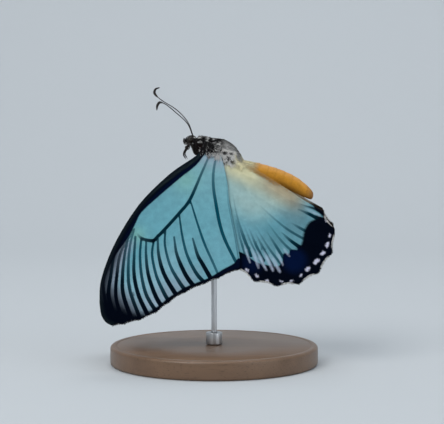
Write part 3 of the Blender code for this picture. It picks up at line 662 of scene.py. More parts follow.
def thinned(kept, loose):
    """Adds each loose point that no earlier point is near."""
    taken = {}
    points = []

    def cell_of(p):
        return int(p[0] // CLEAR_STEP), int(p[1] // CLEAR_STEP)

    def crowded(p):
        column, row = cell_of(p)
        near = [(i, j) for i in range(column - 1, column + 2) for j in range(row - 1, row + 2)]
        others = (other for cell in near for other in taken.get(cell, ()))
        return any((p[0] - q[0]) ** 2 + (p[1] - q[1]) ** 2 < CLEAR_STEP * CLEAR_STEP for q in others)

    def put(p):
        taken.setdefault(cell_of(p), []).append(p)
        points.append(p)

    for p in kept:
        put(p)
    for p in loose:
        if not crowded(p):
            put((float(p[0]), float(p[1])))
    return points


def flat_wing(outline, veins, streaks, spots):
    """A flat wing's points and triangles, with an edge along each vein and streak."""
    kept = [tuple(p) for p in outline]
    edges = [(i, (i + 1) % len(outline)) for i in range(len(outline))]
    loose = line_points(kept, edges, outline, veins, streaks)
    loose = np.vstack(loose + spot_points(spots) + fill_points(outline))
    points = thinned(kept, loose[inside(loose, outline)])
    ring = [list(range(len(outline)))]
    made = delaunay_2d_cdt([Vector(p) for p in points], edges, ring, INNER_TRIANGLES, MERGE_REACH)
    return np.array([tuple(p) for p in made[0]]), [tuple(t) for t in made[2]]


FORE_FLAT = flat_wing(FORE_OUTLINE, FORE_VEINS, FORE_STREAKS, ())
HIND_FLAT = flat_wing(HIND_OUTLINE, HIND_VEINS, HIND_STREAKS, HIND_SPOTS)
print("flat triangles:", len(FORE_FLAT[1]), len(HIND_FLAT[1]))

# %% [markdown]
# ## Markings as numbers on the mesh
# Each point stores how far it is from the nearest dark line, the nearest pale ray, the edge of the blue field
# and the nearest spot. Colours stored at the points would smear between them. The shader instead turns zero
# of each distance into a clean edge, so the markings stay sharp however wide apart the points are.

# %% Marking fields
FAR_AWAY = 9.0
LOOK_PLACES = (0.0, 0.5, 1.0)
LINE_SPREAD = 1.23
LINE_CROSSING = 0.1
UNSEEN_SHIFT = 0.5
PATH_STEP = 1.0
RAY_STEP = 0.7
EDGE_STEP = 1.5


def line_fields(flat, veins, vein_looks, streaks):
    """Distance past the edge of the nearest dark line, with that line's strength and blackness there."""
    past = np.full(len(flat), FAR_AWAY)
    show = np.zeros(len(flat))
    ink = np.zeros(len(flat))
    for line, (widths, strengths, blackness) in [(veins[k], vein_looks[k]) for k in veins] + list(streaks):
        apart, share = distance_to(flat, spaced(smooth_line(line), PATH_STEP))
        strength = np.maximum(np.interp(share, LOOK_PLACES, strengths), 0.0)
        half_width = LINE_SPREAD * np.interp(share, LOOK_PLACES, widths)
        edge = apart - half_width + UNSEEN_SHIFT * (strength == 0)
        black = np.interp(share, LOOK_PLACES, blackness)
        closer = edge < past
        # Where two lines cross, the stronger and blacker one shows
        crossing = (edge < LINE_CROSSING) & (past < LINE_CROSSING)
        show = np.where(crossing, np.maximum(show, strength), np.where(closer, strength, show))
        ink = np.where(crossing, np.maximum(ink, black), np.where(closer, black, ink))
        past = np.minimum(past, edge)
    return {"line": past, "show": show, "ink": ink}


def path_distance(flat, lines):
    """Distance to the nearest of several paths."""
    middle = np.full(len(flat), FAR_AWAY)
    for line in lines:
        middle = np.minimum(middle, distance_to(flat, spaced(smooth_line(line), PATH_STEP))[0])
    return middle


def ray_fields(flat, rays):
    """Distance past the edge of the nearest pale ray, and how near its outer end."""
    past = np.full(len(flat), FAR_AWAY)
    tip = np.zeros(len(flat))
    for line, widths in rays:
        apart, share = distance_to(flat, spaced(smooth_line(line), RAY_STEP))
        edge = apart - np.interp(share, LOOK_PLACES, widths)
        closer = edge < past
        past[closer] = edge[closer]
        tip[closer] = share[closer]
    return {"ray": past, "ray_tip": tip}


def spot_field(flat, spots):
    """Distance past the edge of the nearest spot."""
    past = np.full(len(flat), FAR_AWAY)
    for x0, s0, x1, s1, half in spots:
        line = np.array([(x0, s0), (x1, s1)], dtype=float)
        past = np.minimum(past, distance_to(flat, line)[0] - half)
    return past


def edge_distance(flat, edge):
    """Distance to one of the wing's edges, given by its points."""
    return distance_to(flat, spaced(smooth_line(edge), EDGE_STEP))[0]


print("marking fields ready")

# %% [markdown]
# ## The membrane
# The real membrane is far thinner than a solid can be, and it sags a little between the veins, which stand
# out on both faces. Solidify could give it its thickness, but not the veins, so both faces are lifted off the
# fold by numbers of their own. Each gets its own material, because this species is pale underneath.

# %% Build a wing
MEMBRANE_HALF = 0.13
VEIN_RISE = 0.2
VEIN_REACH = 0.38
SAG_DEPTH = 0.22
SAG_REACH = 1.9
CREASE_RISE = 0.17
CREASE_REACH = 0.55


def hump(apart, reach):
    """1 at no distance, and falling away smoothly over the reach."""
    return np.exp(-((apart / reach) ** 2))


def outward_faces(mesh):
    """Turns a closed mesh's faces outwards and drops points that no face uses."""
    work = bmesh.new()
    work.from_mesh(mesh)
    bmesh.ops.delete(work, geom=[v for v in work.verts if not v.link_faces], context="VERTS")
    bmesh.ops.recalc_face_normals(work, faces=work.faces)
    work.to_mesh(mesh)
    work.free()
    mesh.shade_smooth()


def store_numbers(mesh, fields):
    """A number for each point of the mesh under each field's name."""
    for key, values in fields.items():
        field = mesh.attributes.new(key, "FLOAT", "POINT")
        field.data.foreach_set("value", np.asarray(values, dtype=np.float32))


def mesh_of(name, points_mm, faces, fields, material_list, face_materials=None):
    """An object at the origin from body points."""
    mesh = bpy.data.meshes.new(name)
    mesh.from_pydata(to_world(points_mm).tolist(), [], faces)
    store_numbers(mesh, fields)
    for entry in material_list:
        mesh.materials.append(entry)
    if face_materials is not None:
        mesh.polygons.foreach_set("material_index", face_materials)
    outward_faces(mesh)
    keep_inside(mesh)
    return add_object(name, mesh)


def build_wing(name, flat_mesh, fields, middle, crease, lift, side, materials):
    """A closed wing with both faces and a rim, on the left (-1) or the right (+1) side."""
    flat, triangles = flat_mesh
    rise = VEIN_RISE * hump(middle, VEIN_REACH)
    sag = CREASE_RISE * hump(crease, CREASE_REACH) - SAG_DEPTH * (1.0 - hump(middle, SAG_REACH))
    mirror = np.array([1.0, side, 1.0])
    top = fold(flat, lift + sag + MEMBRANE_HALF + rise) * mirror
    bottom = fold(flat, lift + sag - MEMBRANE_HALF - rise) * mirror
    count = len(flat)
    used = {(a, b) for t in triangles for a, b in zip(t, t[1:] + t[:1])}
    rim = [(a, b) for a, b in used if (b, a) not in used]
    faces = list(triangles)
    faces += [tuple(i + count for i in reversed(t)) for t in triangles]
    faces += [(b, a, a + count, b + count) for a, b in sorted(rim)]
    kinds = [0] * len(triangles) + [1] * len(triangles) + [0] * len(rim)
    doubled = {key: np.concatenate([values, values]) for key, values in fields.items()}
    return mesh_of(name, np.vstack([top, bottom]), faces, doubled, materials, kinds)


print("wing builder ready")

# %% [markdown]
# ## Wing colours
# Butterfly wings are covered in tiny scales, so the colour is matt and slightly grainy, like fine dust. The
# upper side runs from sea green at the root through blue to a lavender grey by the margin. A picture could
# carry all this, but would blur close up, so each tone is laid over the last where its number is high.

# %% Wing tones
BLACK = (0.0012, 0.0025, 0.0065, 1)
VEIN_TEAL = (0.003, 0.060, 0.090, 1)
HAIR_BLACK = (0.008, 0.007, 0.008, 1)
# On the forewing the navy and front tones are painted sheen on the black front band
UPPER_TONES = {
    "ground": (0.122, 0.335, 0.405, 1), "root": (0.31, 0.45, 0.44, 1), "edge": (0.25, 0.44, 0.52, 1),
    "rear": (0.345, 0.385, 0.31, 1), "cream": (0.60, 0.57, 0.36, 1), "tan": (0.38, 0.28, 0.16, 1),
    "green": (0.20, 0.42, 0.35, 1), "lilac": (0.29, 0.335, 0.42, 1), "navy": (0.0015, 0.006, 0.030, 1),
    "front": (0.016, 0.024, 0.026, 1), "vein": VEIN_TEAL, "dark": BLACK,
    "ray_start": (0.20, 0.42, 0.50, 1), "ray_end": (0.40, 0.44, 0.57, 1), "spot": (0.50, 0.50, 0.62, 1),
}
LOWER_TONES = {
    "ground": (0.40, 0.36, 0.29, 1), "root": (0.46, 0.22, 0.06, 1), "edge": (0.42, 0.40, 0.36, 1),
    "rear": (0.46, 0.38, 0.24, 1), "cream": (0.52, 0.44, 0.26, 1), "tan": (0.42, 0.33, 0.2, 1),
    "green": (0.40, 0.37, 0.29, 1), "lilac": (0.42, 0.39, 0.36, 1), "navy": (0.030, 0.022, 0.018, 1),
    "front": (0.045, 0.034, 0.028, 1), "vein": (0.07, 0.045, 0.03, 1), "dark": (0.030, 0.022, 0.018, 1),
    "ray_start": (0.40, 0.36, 0.29, 1), "ray_end": (0.55, 0.52, 0.47, 1), "spot": (0.70, 0.70, 0.72, 1),
}
GROUND_TONES = ("edge", "root", "rear", "cream", "tan", "green", "lilac")
# The black border's tones, which on the forewing are its painted sheen
BORDER_TONES = ("navy", "front")
print("wing tones:", len(UPPER_TONES))

# %% Wing materials
# Features to a metre, from broad clouds on the wing to single scales
CLOUD_SCALE, SPOT_SCALE, RAGGED_SCALE, BUMP_SCALE, DUST_SCALE = 420.0, 1100.0, 3200.0, 7000.0, 9000.0
# How far, in millimetres, scales wander over an edge, and how softly each marking ends
RAGGED_REACH = 0.12
RAGGED_SPAN = (0.25, 0.75)
RAGGED_ON_LINES = 0.5
SPOT_RAGGED = 0.3
LINE_SOFT, BORDER_SOFT, SPOT_SOFT, RAY_SOFT = 0.12, 0.22, 0.34, 0.45


def wing_ground(tree, tones):
    """The blue field's colour, cloudy and dusty."""
    colour = tones["ground"]
    for key in GROUND_TONES:
        colour = lay_over(tree, colour, tones[key], field_value(tree, "near_" + key))
    cloud = noise_between(tree, 0.9, 1.08, CLOUD_SCALE, 4.0)
    dust = noise_between(tree, 0.86, 1.12, DUST_SCALE, 1.0)
    return scaled(tree, colour, math_node(tree, "MULTIPLY", cloud, dust))


def wing_lines(tree, tones, colour, ragged):
    """Lays the dark lines, and the soft darkening with the hindwing's painted shade, over the ground."""
    tone = lay_over(tree, tones["vein"], tones["dark"], field_value(tree, "ink"))
    wander = math_node(tree, "MULTIPLY", ragged, RAGGED_ON_LINES)
    edge = math_node(tree, "ADD", field_value(tree, "line"), wander)
    mask = math_node(tree, "MULTIPLY", inside_mask(tree, edge, LINE_SOFT), field_value(tree, "show"))
    colour = lay_over(tree, colour, tone, mask)
    # The soft darkening includes painted shade on the hindwing, along its inner edge under the abdomen
    return lay_over(tree, colour, tones["dark"], field_value(tree, "gloom"))


def wing_border(tree, tones, colour, ragged):
    """Lays the black border, its rays and its spots over the lines; on the forewing the border has painted
    sheen.
    """
    edge = math_node(tree, "ADD", field_value(tree, "black"), ragged)
    border = tones["dark"]
    for key in BORDER_TONES:
        border = lay_over(tree, border, tones[key], field_value(tree, "near_" + key))
    colour = lay_over(tree, colour, border, inside_mask(tree, edge, BORDER_SOFT))
    ray_tone = lay_over(tree, tones["ray_start"], tones["ray_end"], field_value(tree, "ray_tip"))
    edge = math_node(tree, "ADD", field_value(tree, "ray"), ragged)
    colour = lay_over(tree, colour, ray_tone, inside_mask(tree, edge, RAY_SOFT))
    uneven = noise_between(tree, -SPOT_RAGGED, SPOT_RAGGED, SPOT_SCALE)
    edge = math_node(tree, "ADD", field_value(tree, "spot"), math_node(tree, "ADD", ragged, uneven))
    return lay_over(tree, colour, tones["spot"], inside_mask(tree, edge, SPOT_SOFT))


def wing_material(name, tones):
    made, tree, shader = new_material(name, 0.8, Specular_IOR_Level=0.0)
    ragged = noise_between(tree, -RAGGED_REACH, RAGGED_REACH, RAGGED_SCALE, 3.0, RAGGED_SPAN)
    colour = wing_lines(tree, tones, wing_ground(tree, tones), ragged)
    colour = wing_border(tree, tones, colour, ragged)
    colour = lay_over(tree, colour, HAIR_BLACK, field_value(tree, "hinge"))
    tree.links.new(colour, shader.inputs["Base Color"])
    add_bump(tree, shader, noise(tree, BUMP_SCALE), 0.35, 0.00006)
    return made


UPPER = wing_material("wing_upper", UPPER_TONES)
LOWER = wing_material("wing_lower", LOWER_TONES)
print("wing materials:", UPPER.name, LOWER.name)

# %% [markdown]
# ## Where each tone lies
# On the real wing the tones melt into each other. They could be brushed on by hand as a mask for each. Here a
# tone is a few soft patches, and the strongest shows. A patch is its strength and its bounds. A bound is a
# measure, such as x, s or the distance from an edge, with the value where the patch ends and the value where
# it is full. A place on the wing can stand for a measure, and then the distance from it counts.

# %% Soft patches
HINGE_WAVES = ((0.55, 1.9, 0.0), (0.35, 4.7, 1.0), (0.2, 9.0, 2.0))
HINGE_HAIR = (4.6, 2.2)
EDGE_TONE = (0.9, ("margin", 25.0, 10.0))


def ramp(values, low, high):
    """0 below low and 1 above high, smooth between; low may be the larger."""
    t = np.clip((values - low) / (high - low), 0.0, 1.0)
    return t * t * (3 - 2 * t)


def hinge_reach(flat):
    """Distance from the hinge with an uneven edge, so that the root hair ends raggedly."""
    reach = flat[:, 1]
    for height, pace, start in HINGE_WAVES:
        reach = reach + height * np.sin(pace * flat[:, 0] + start)
    return reach


def patch(flat, measures, strength, *bounds):
    """How strong a soft patch is at each point."""
    made = np.full(len(flat), strength)
    for measure, outer, inner in bounds:
        if isinstance(measure, str):
            values = measures[measure]
        else:
            values = np.linalg.norm(flat - measure, axis=1)
        made = made * ramp(values, outer, inner)
    return made


def strongest(flat, measures, patches):
    return np.maximum.reduce([patch(flat, measures, *entry) for entry in patches])


def wing_fields(flat, measures, tone_patches, spots, field, rays):
    """The fields of a wing, apart from its dark lines; a tone that has no patches is nowhere."""
    fields = ray_fields(flat, rays)
    fields["black"] = inner_distance(flat, field)
    fields["spot"] = spot_field(flat, spots)
    fields["near_edge"] = patch(flat, measures, *EDGE_TONE)
    fields["hinge"] = ramp(hinge_reach(flat), *HINGE_HAIR)
    for key in [*("near_" + tone for tone in GROUND_TONES + BORDER_TONES), "gloom"]:
        if key in tone_patches:
            fields[key] = strongest(flat, measures, tone_patches[key])
        elif key not in fields:
            fields[key] = np.zeros(len(flat))
    return fields


print("soft patches ready")

# %% Forewing tones
# Three measures of how far towards the tip a point is, along lines that slant a little more each
TIP_SLANTS = {"tip_border": 0.3, "tip_pale": 0.5, "tip_dark": 0.55}
FORE_PATCHES = {
    # Painted sheen on the black front band: dull grey by its outer edge and a navy tint on its inner part
    "near_front": ((0.35, ("front", 2.2, 0.2)),),
    "near_navy": ((0.45, ("front", 1.5, 3.2), ("s", 60.0, 40.0)),),
    "near_lilac": (
        (0.85, ("s", 46.0, 51.0), ("front", 9.5, 4.5)),
        (0.85, ("tip_pale", 74.0, 84.0)),
        (0.6375, ("margin", 12.0, 3.0), ("x", 14.0, 2.0)),
    ),
    "gloom": ((0.92, ("front", 6.4, 1.6), ("s", 46.0, 57.0)), (0.95, ("tip_dark", 76.0, 88.0))),
}
# The pale edge tone is left off the rear, and near the tip the border comes on softly
REAR_WITHOUT_EDGE = (0.85, ("x", -10.0, 6.0))
SOFT_TIP = (0.85, ("tip_border", 71.0, 79.0))
# Round green tints, as their strength, place and reach
GREEN_TINTS = ((0.6, (-20.6, 45.6), 3.6), (0.5, (-7.6, 18.0), 5.0))
ROOT_TINT, ROOT_TINT_REACH = 0.75, 14.0

fore_flat = FORE_FLAT[0]
fore_x, fore_s = fore_flat[:, 0], fore_flat[:, 1]
fore_measures = {"x": fore_x, "s": fore_s, "front": edge_distance(fore_flat, FORE_COSTA),
                 "margin": edge_distance(fore_flat, FORE_ENDS.values())}
fore_measures.update({name: fore_s - slant * fore_x for name, slant in TIP_SLANTS.items()})
FORE_FIELDS = line_fields(fore_flat, FORE_VEINS, FORE_VEIN_LOOKS, FORE_STREAKS)
FORE_FIELDS.update(wing_fields(fore_flat, fore_measures, FORE_PATCHES, (), FORE_FIELD, ()))
FORE_FIELDS["near_edge"] *= 1.0 - patch(fore_flat, fore_measures, *REAR_WITHOUT_EDGE)
FORE_FIELDS["black"] *= 1.0 - patch(fore_flat, fore_measures, *SOFT_TIP)
FORE_FIELDS["near_root"] = ROOT_TINT * np.exp(-np.maximum(fore_s, 0.0) / ROOT_TINT_REACH)
FORE_FIELDS["near_green"] = np.maximum.reduce([
    tint * hump(np.linalg.norm(fore_flat - place, axis=1), reach) for tint, place, reach in GREEN_TINTS])
print("forewing fields:", len(FORE_FIELDS))

# %% Forewing rays and front line
# Pale rays fan out from the root: their strength, bounds along s, radians to a millimetre and swing
ROOT_RAYS, ROOT_RAY_BOUNDS, ROOT_RAY_TURN, ROOT_RAY_SWING = 0.85, (13.0, 5.5), 3.6, 0.25
# A dull line of painted sheen runs inside the black front band, over the wing's first ribs
FRONT_LINE = ((-3.6, 5.0), (-6.6, 10.2), (-11.6, 16.2), (-17.0, 23.8), (-21.6, 31.2), (-24.6, 38.6))
FRONT_LINE_TINT, FRONT_LINE_REACH, FRONT_LINE_FADE = 0.85, 0.38, (1.0, 0.45)

swing = 1.0 - ROOT_RAY_SWING + ROOT_RAY_SWING * np.cos(fore_x * ROOT_RAY_TURN)
root_rays = ROOT_RAYS * ramp(fore_s, *ROOT_RAY_BOUNDS) * swing
FORE_FIELDS["near_lilac"] = np.maximum(FORE_FIELDS["near_lilac"], root_rays)
line_apart, line_share = distance_to(fore_flat, spaced(smooth_line(FRONT_LINE), EDGE_STEP))
front_line = FRONT_LINE_TINT * hump(line_apart, FRONT_LINE_REACH) * ramp(line_share, *FRONT_LINE_FADE)
FORE_FIELDS["near_front"] = np.maximum(FORE_FIELDS["near_front"], front_line)
print("points on the root's rays:", int(np.sum(root_rays > 0.1)))

# %% Hindwing tones
HIND_PATCHES = {
    "near_root": ((0.95, ((21.0, 12.0), 20.0, 8.0)),),
    "near_rear": ((0.9, ("rear", 12.5, 3.0), ("x", 47.0, 30.0)),),
    "near_cream": ((0.95, ("rear", 10.0, 2.0), ("x", 27.0, 16.0)),),
    "near_tan": ((0.72, ("rear", 8.5, 1.0), ("x", 18.0, 28.0), ("x", 46.5, 36.0)),),
    "near_navy": ((1.0, ((44.6, 38.6), 7.0, 2.5)), (0.7, ((28.0, 44.2), 6.5, 1.5))),
    "gloom": (
        (0.34, ((42.0, 22.0), 13.0, 3.0)),
        (0.85, ("rear", 2.2, 0.3), ("x", 41.5, 49.0)),
        # Painted shade along the inner edge under the abdomen, where its shadow falls on the wing
        (0.15, ("rear", 2.0, 0.3), ("x", 15.0, 24.0)),
    ),
}
SOFT_CORNER = (0.6, ((45.5, 26.0), 11.0, 4.0))
# Only a little of the pale edge tone shows, so that the rays stand out
EDGE_TONE_SHARE = 0.35
# The outer part is a shade darker, and less so towards the front
OUTER_SHADE, OUTER_SHADE_BOUNDS = 0.24, (20.0, 32.0)
FRONT_SHARE, FRONT_SHARE_BOUNDS = 0.35, (22.0, 33.0)

hind_flat = HIND_FLAT[0]
hind_x, hind_s = hind_flat[:, 0], hind_flat[:, 1]
hind_measures = {"x": hind_x, "s": hind_s, "rear": edge_distance(hind_flat, HIND_INNER),
                 "margin": edge_distance(hind_flat, HIND_ENDS.values())}
HIND_FIELDS = line_fields(hind_flat, HIND_VEINS, HIND_VEIN_LOOKS, HIND_STREAKS)
HIND_FIELDS.update(wing_fields(hind_flat, hind_measures, HIND_PATCHES, HIND_SPOTS, HIND_FIELD, HIND_RAYS))
shade_share = FRONT_SHARE + (1.0 - FRONT_SHARE) * ramp(hind_x, *FRONT_SHARE_BOUNDS)
outer_shade = OUTER_SHADE * ramp(hind_s, *OUTER_SHADE_BOUNDS) * shade_share
HIND_FIELDS["gloom"] = np.maximum(HIND_FIELDS["gloom"], outer_shade)
HIND_FIELDS["black"] *= 1.0 - patch(hind_flat, hind_measures, *SOFT_CORNER)
HIND_FIELDS["near_edge"] *= EDGE_TONE_SHARE
print("hindwing fields:", len(HIND_FIELDS))

# %% Four wings
def wing_plan(flat_mesh, fields, veins, streaks, lift):
    """What the two wings of a kind share."""
    middle = path_distance(flat_mesh[0], veins.values())
    crease = path_distance(flat_mesh[0], [line for line, _ in streaks])
    return flat_mesh, fields, middle, crease, lift


WING_PLANS = {
    "forewing": wing_plan(FORE_FLAT, FORE_FIELDS, FORE_VEINS, FORE_STREAKS, FORE_LIFT),
    "hindwing": wing_plan(HIND_FLAT, HIND_FIELDS, HIND_VEINS, HIND_STREAKS, HIND_LIFT),
}

for side, hand in SIDES:
    for kind, plan in WING_PLANS.items():
        wing = build_wing(f"{kind}_fine_{hand}", *plan, side, (UPPER, LOWER))
        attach(wing, "root")
        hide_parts(f"{kind}_{hand}")
        print(kind, hand, "has", len(wing.data.polygons), "faces")

# %% [markdown]
# ## Floor
# A museum case has a plain pale ground. A flat plane would end in a hard line behind the stand, so the ground
# sweeps up into a wall, as the paper in a photo studio does. Far off to the front and sides it takes the
# background's own tone, so that no edge shows there either.

# %% Floor
FLOOR_REACH = 9.0
SWEEP_START = 0.5
SWEEP_RADIUS = 0.7
SWEEP_TOP = 3.0
SWEEP_STEPS = 24

profile = [(-FLOOR_REACH, 0.0), (SWEEP_START, 0.0)]
for i in range(1, SWEEP_STEPS + 1):
    angle = math.pi / 2 * i / SWEEP_STEPS
    profile.append((SWEEP_START + SWEEP_RADIUS * math.sin(angle), SWEEP_RADIUS * (1 - math.cos(angle))))
profile.append((SWEEP_START + SWEEP_RADIUS, SWEEP_TOP))
floor_mesh = bpy.data.meshes.new("floor")
floor_points = [(x, y, z) for y, z in profile for x in (-FLOOR_REACH, FLOOR_REACH)]
floor_faces = [(2 * i, 2 * i + 1, 2 * i + 3, 2 * i + 2) for i in range(len(profile) - 1)]
floor_mesh.from_pydata(floor_points, [], floor_faces)
floor_mesh.shade_smooth()
floor = add_object("floor", floor_mesh)
print("floor profile points:", len(profile))

# %% Floor material
FLOOR_TONE = (0.50, 0.53, 0.555, 1)
SKY_TONE = (0.80, 0.88, 0.96, 1)
SKY_STRENGTH = 0.45
FADE_START = 0.7
FADE_END = 1.7
NO_COLOUR = (0.0, 0.0, 0.0, 1)

floor_material, tree, shader = new_material("floor", 0.9, Specular_IOR_Level=0.0)
parts = add_node(tree, "ShaderNodeSeparateXYZ", {0: object_place(tree)}).outputs
toward_front = math_node(tree, "MINIMUM", parts["Y"], 0.0)
ground_place = add_node(tree, "ShaderNodeCombineXYZ", {0: parts["X"], 1: toward_front}).outputs[0]
far_off = add_node(tree, "ShaderNodeVectorMath", {0: ground_place}, operation="LENGTH").outputs["Value"]
fade_ends = {"Value": far_off, "From Min": FADE_START, "From Max": FADE_END}
fade = add_node(tree, "ShaderNodeMapRange", fade_ends, interpolation_type="SMOOTHSTEP").outputs[0]
tree.links.new(lay_over(tree, FLOOR_TONE, NO_COLOUR, fade), shader.inputs["Base Color"])
shader.inputs["Emission Color"].default_value = SKY_TONE
tree.links.new(math_node(tree, "MULTIPLY", fade, SKY_STRENGTH), shader.inputs["Emission Strength"])
floor_mesh.materials.append(floor_material)
print("floor fades between", FADE_START, "and", FADE_END, "m")

# %% [markdown]
# ## Light
# Daylight through cloud comes from everywhere and casts hardly a shadow. A sun lamp would be too hard. Three
# wide area lamps and a pale world give the same even light, and the lamp at the upper left is the strongest,
# so that the body looks round.

# %% Lights
LAMPS = (
    # name, place, size, power, colour
    ("key", (-0.7, -1.1, 1.2), 0.9, 16.0, (1.0, 0.99, 0.97)),
    ("fill", (1.2, -0.9, 0.5), 1.2, 6.0, (0.93, 0.97, 1.0)),
    ("top", (0.1, 0.4, 1.5), 1.0, 10.0, (1.0, 1.0, 1.0)),
)

for name, place, size, power, colour in LAMPS:
    lamp = add_object(name, bpy.data.lights.new(name, "AREA"))
    lamp.data.size = size
    lamp.data.energy = power
    lamp.data.color = colour
    lamp.location = place
    lamp.rotation_euler = (Vector(place) - VIEW_TARGET * MM).to_track_quat("Z", "Y").to_euler()
world = bpy.data.worlds.new("soft_sky")
bpy.context.scene.world = world
world.use_nodes = True
world.node_tree.nodes["Background"].inputs["Color"].default_value = SKY_TONE
world.node_tree.nodes["Background"].inputs["Strength"].default_value = SKY_STRENGTH
bpy.context.scene.view_settings.view_transform = "Standard"
print("lamps:", len(LAMPS))

# %% [markdown]
# ## One skin from head to tail
# Under the hair the body is one hide. Balls joined end to end would show their seams, so a single loft runs
# from the face to the tail tip. It stays inside the solids by the depth of the hair. On the abdomen each
# ring's rear edge stands a little over the next ring, as the overlapping plates of an insect do.

# %% Body shape
SKIN_STATIONS = (
    # x, middle height, half width, half height
    (-12.7, 0.5, 0.35, 0.45), (-12.4, 0.58, 0.95, 1.05), (-11.6, 0.8, 1.65, 1.6), (-10.6, 0.95, 2.05, 1.95),
    (-9.4, 0.9, 2.1, 2.0), (-8.7, 0.8, 1.65, 1.65), (-8.1, 0.7, 1.8, 1.8), (-7.4, 0.65, 2.45, 2.55),
    (-5.2, 0.15, 3.25, 3.55), (-1.5, -0.7, 3.8, 4.7), (2.8, -0.8, 4.0, 5.3), (6.8, -1.4, 3.9, 4.9),
    (10.0, -2.4, 3.2, 3.8), (12.0, -3.3, 2.4, 2.8), (13.0, -3.75, 2.25, 2.45), (16.0, -4.4, 3.0, 3.1),
    (22.0, -4.3, 3.46, 3.46), (29.0, -4.5, 3.46, 3.46), (36.0, -5.5, 3.16, 3.26), (41.5, -7.1, 2.46, 2.66),
    (44.6, -8.2, 1.36, 1.66), (45.4, -8.55, 0.4, 0.6),
)
STATION_STEPS = 12
RING_START = 13.0
RING_LENGTH = 32.5 / 9
RING_RISE = 0.13
# The plates' edges fade in and out at the abdomen's ends, over this length
PLATES_START, PLATES_END, PLATES_FADE = 15.0, 44.0, 2.0
PLATE_EDGE = 0.06
PLATE_CURVE = 1.5
SMALL_STEP = 0.05


def ring_share(x):
    """How far through its abdomen ring each place is, from 0 to 1."""
    return ((x - RING_START) / RING_LENGTH) % 1.0


def skin_sizes(x):
    """The skin's middle height, half width and half height at body places x."""
    table = smooth_line(SKIN_STATIONS, STATION_STEPS)
    table = table[np.argsort(table[:, 0])]
    middle, wide, high = (np.interp(x, table[:, 0], table[:, i]) for i in (1, 2, 3))
    share = ring_share(x)
    plates = np.clip((x - PLATES_START) / PLATES_FADE, 0.0, 1.0)
    plates = plates * np.clip((PLATES_END - x) / PLATES_FADE, 0.0, 1.0)
    dip = RING_RISE * plates * (1.0 - share**PLATE_CURVE) * np.clip(share / PLATE_EDGE, 0.0, 1.0)
    return middle, wide - dip, high - dip


def skin_point(x, turn):
    """Points of the skin at body place x and at an angle round the body from its right side."""
    middle, wide, high = skin_sizes(x)
    return np.stack([x, wide * np.cos(turn), middle + high * np.sin(turn)], axis=-1)


def skin_frame(x, turn):
    """Skin points with the way back along the body and the way out of it."""
    along = skin_point(x + SMALL_STEP, turn) - skin_point(x - SMALL_STEP, turn)
    around = skin_point(x, turn + SMALL_STEP) - skin_point(x, turn - SMALL_STEP)
    out = np.cross(along, around)
    middle = np.stack([x, x * 0, skin_sizes(x)[0]], axis=-1)
    point = skin_point(x, turn)
    out *= np.sign(np.sum(out * (point - middle), axis=-1))[:, None]
    return point, unit(along), unit(out)


print("skin sizes at the thorax:", [round(float(v), 2) for v in skin_sizes(np.array(0.0))])

# %% [markdown]
# ## Body markings
# The front is black with white dots, the rear of the thorax is grey-white with black dots, and cream wool
# leads to an amber abdomen. Painted skin alone would look bald, and hair alone would look torn. So skin and
# hair share one set of numbers, worked out from the place on the body.

# %% Body markings
WHITE_DOTS = (
    # x, distance from the midline, height, radius
    (-12.0, 0.9, 1.7, 0.34), (-9.2, 1.0, 2.6, 0.42), (-9.0, 2.0, -0.2, 0.45), (-7.2, 1.1, 3.0, 0.65),
    (-6.9, 2.5, 1.3, 0.6), (-6.4, 2.4, -1.8, 0.55), (-4.6, 1.4, 3.6, 0.8), (-1.9, 1.6, 4.1, 0.85),
    (-3.4, 3.3, 1.2, 0.6), (-1.2, 3.6, -0.6, 0.5), (0.6, 3.2, 2.2, 0.9), (1.0, 3.9, -2.4, 0.7),
    (-4.4, 2.7, 2.5, 0.5), (-1.2, 3.1, 2.7, 0.55),
)
BLACK_DOTS = (
    (4.9, 4.1, -0.3, 1.05), (7.6, 3.9, -1.6, 0.95), (9.2, 3.3, -2.6, 0.75), (10.6, 3.1, -3.3, 0.65),
    (11.8, 2.4, -3.9, 0.6), (3.4, 3.4, -4.0, 0.9), (6.6, 2.9, -4.6, 0.9),
)
DOT_SOFT = 0.25
MOST_PALE = 0.9
# A darker line down the back of the pale rear thorax: strength, half width, and bounds in height
BACK_LINE, BACK_LINE_REACH, BACK_LINE_BOUNDS = 0.82, 2.7, (-2.0, 1.5)
PALE_START = (0.6, 4.0)
# A rusty patch on the thorax's side: strength, place (x, z) and reaches
RUST, RUST_PLACE, RUST_REACHES = 0.6, (-3.6, -0.8), (3.4, 1.8)
CREAM_START = (9.8, 13.0)
AMBER_START = (15.6, 21.0)
AMBER_TIP_START = (41.0, 45.5)
# Bounds of the painted highlight on the back and the painted shade on the belly, as shares of the skin's half
# height
AMBER_HIGHLIGHT_BOUNDS = (0.3, 0.95)
AMBER_SHADE_BOUNDS = (0.05, -0.85)
# A darker line behind each plate's edge: strength, its share of the ring, reach, and where lines start
RING_LINE, RING_LINE_SHARE, RING_LINE_REACH, RING_LINE_START = 0.3, 0.08, 0.09, (16.0, 19.0)


def dot_share(points, dots):
    """1 in a dot and 0 outside all of them, the same on both sides of the body."""
    share = np.zeros(len(points))
    folded = points * (1, 0, 1) + np.abs(points) * (0, 1, 0)
    for x, y, z, radius in dots:
        apart = np.linalg.norm(folded - (x, y, z), axis=1)
        share = np.maximum(share, np.clip((radius - apart) / DOT_SOFT + 0.5, 0.0, 1.0))
    return share


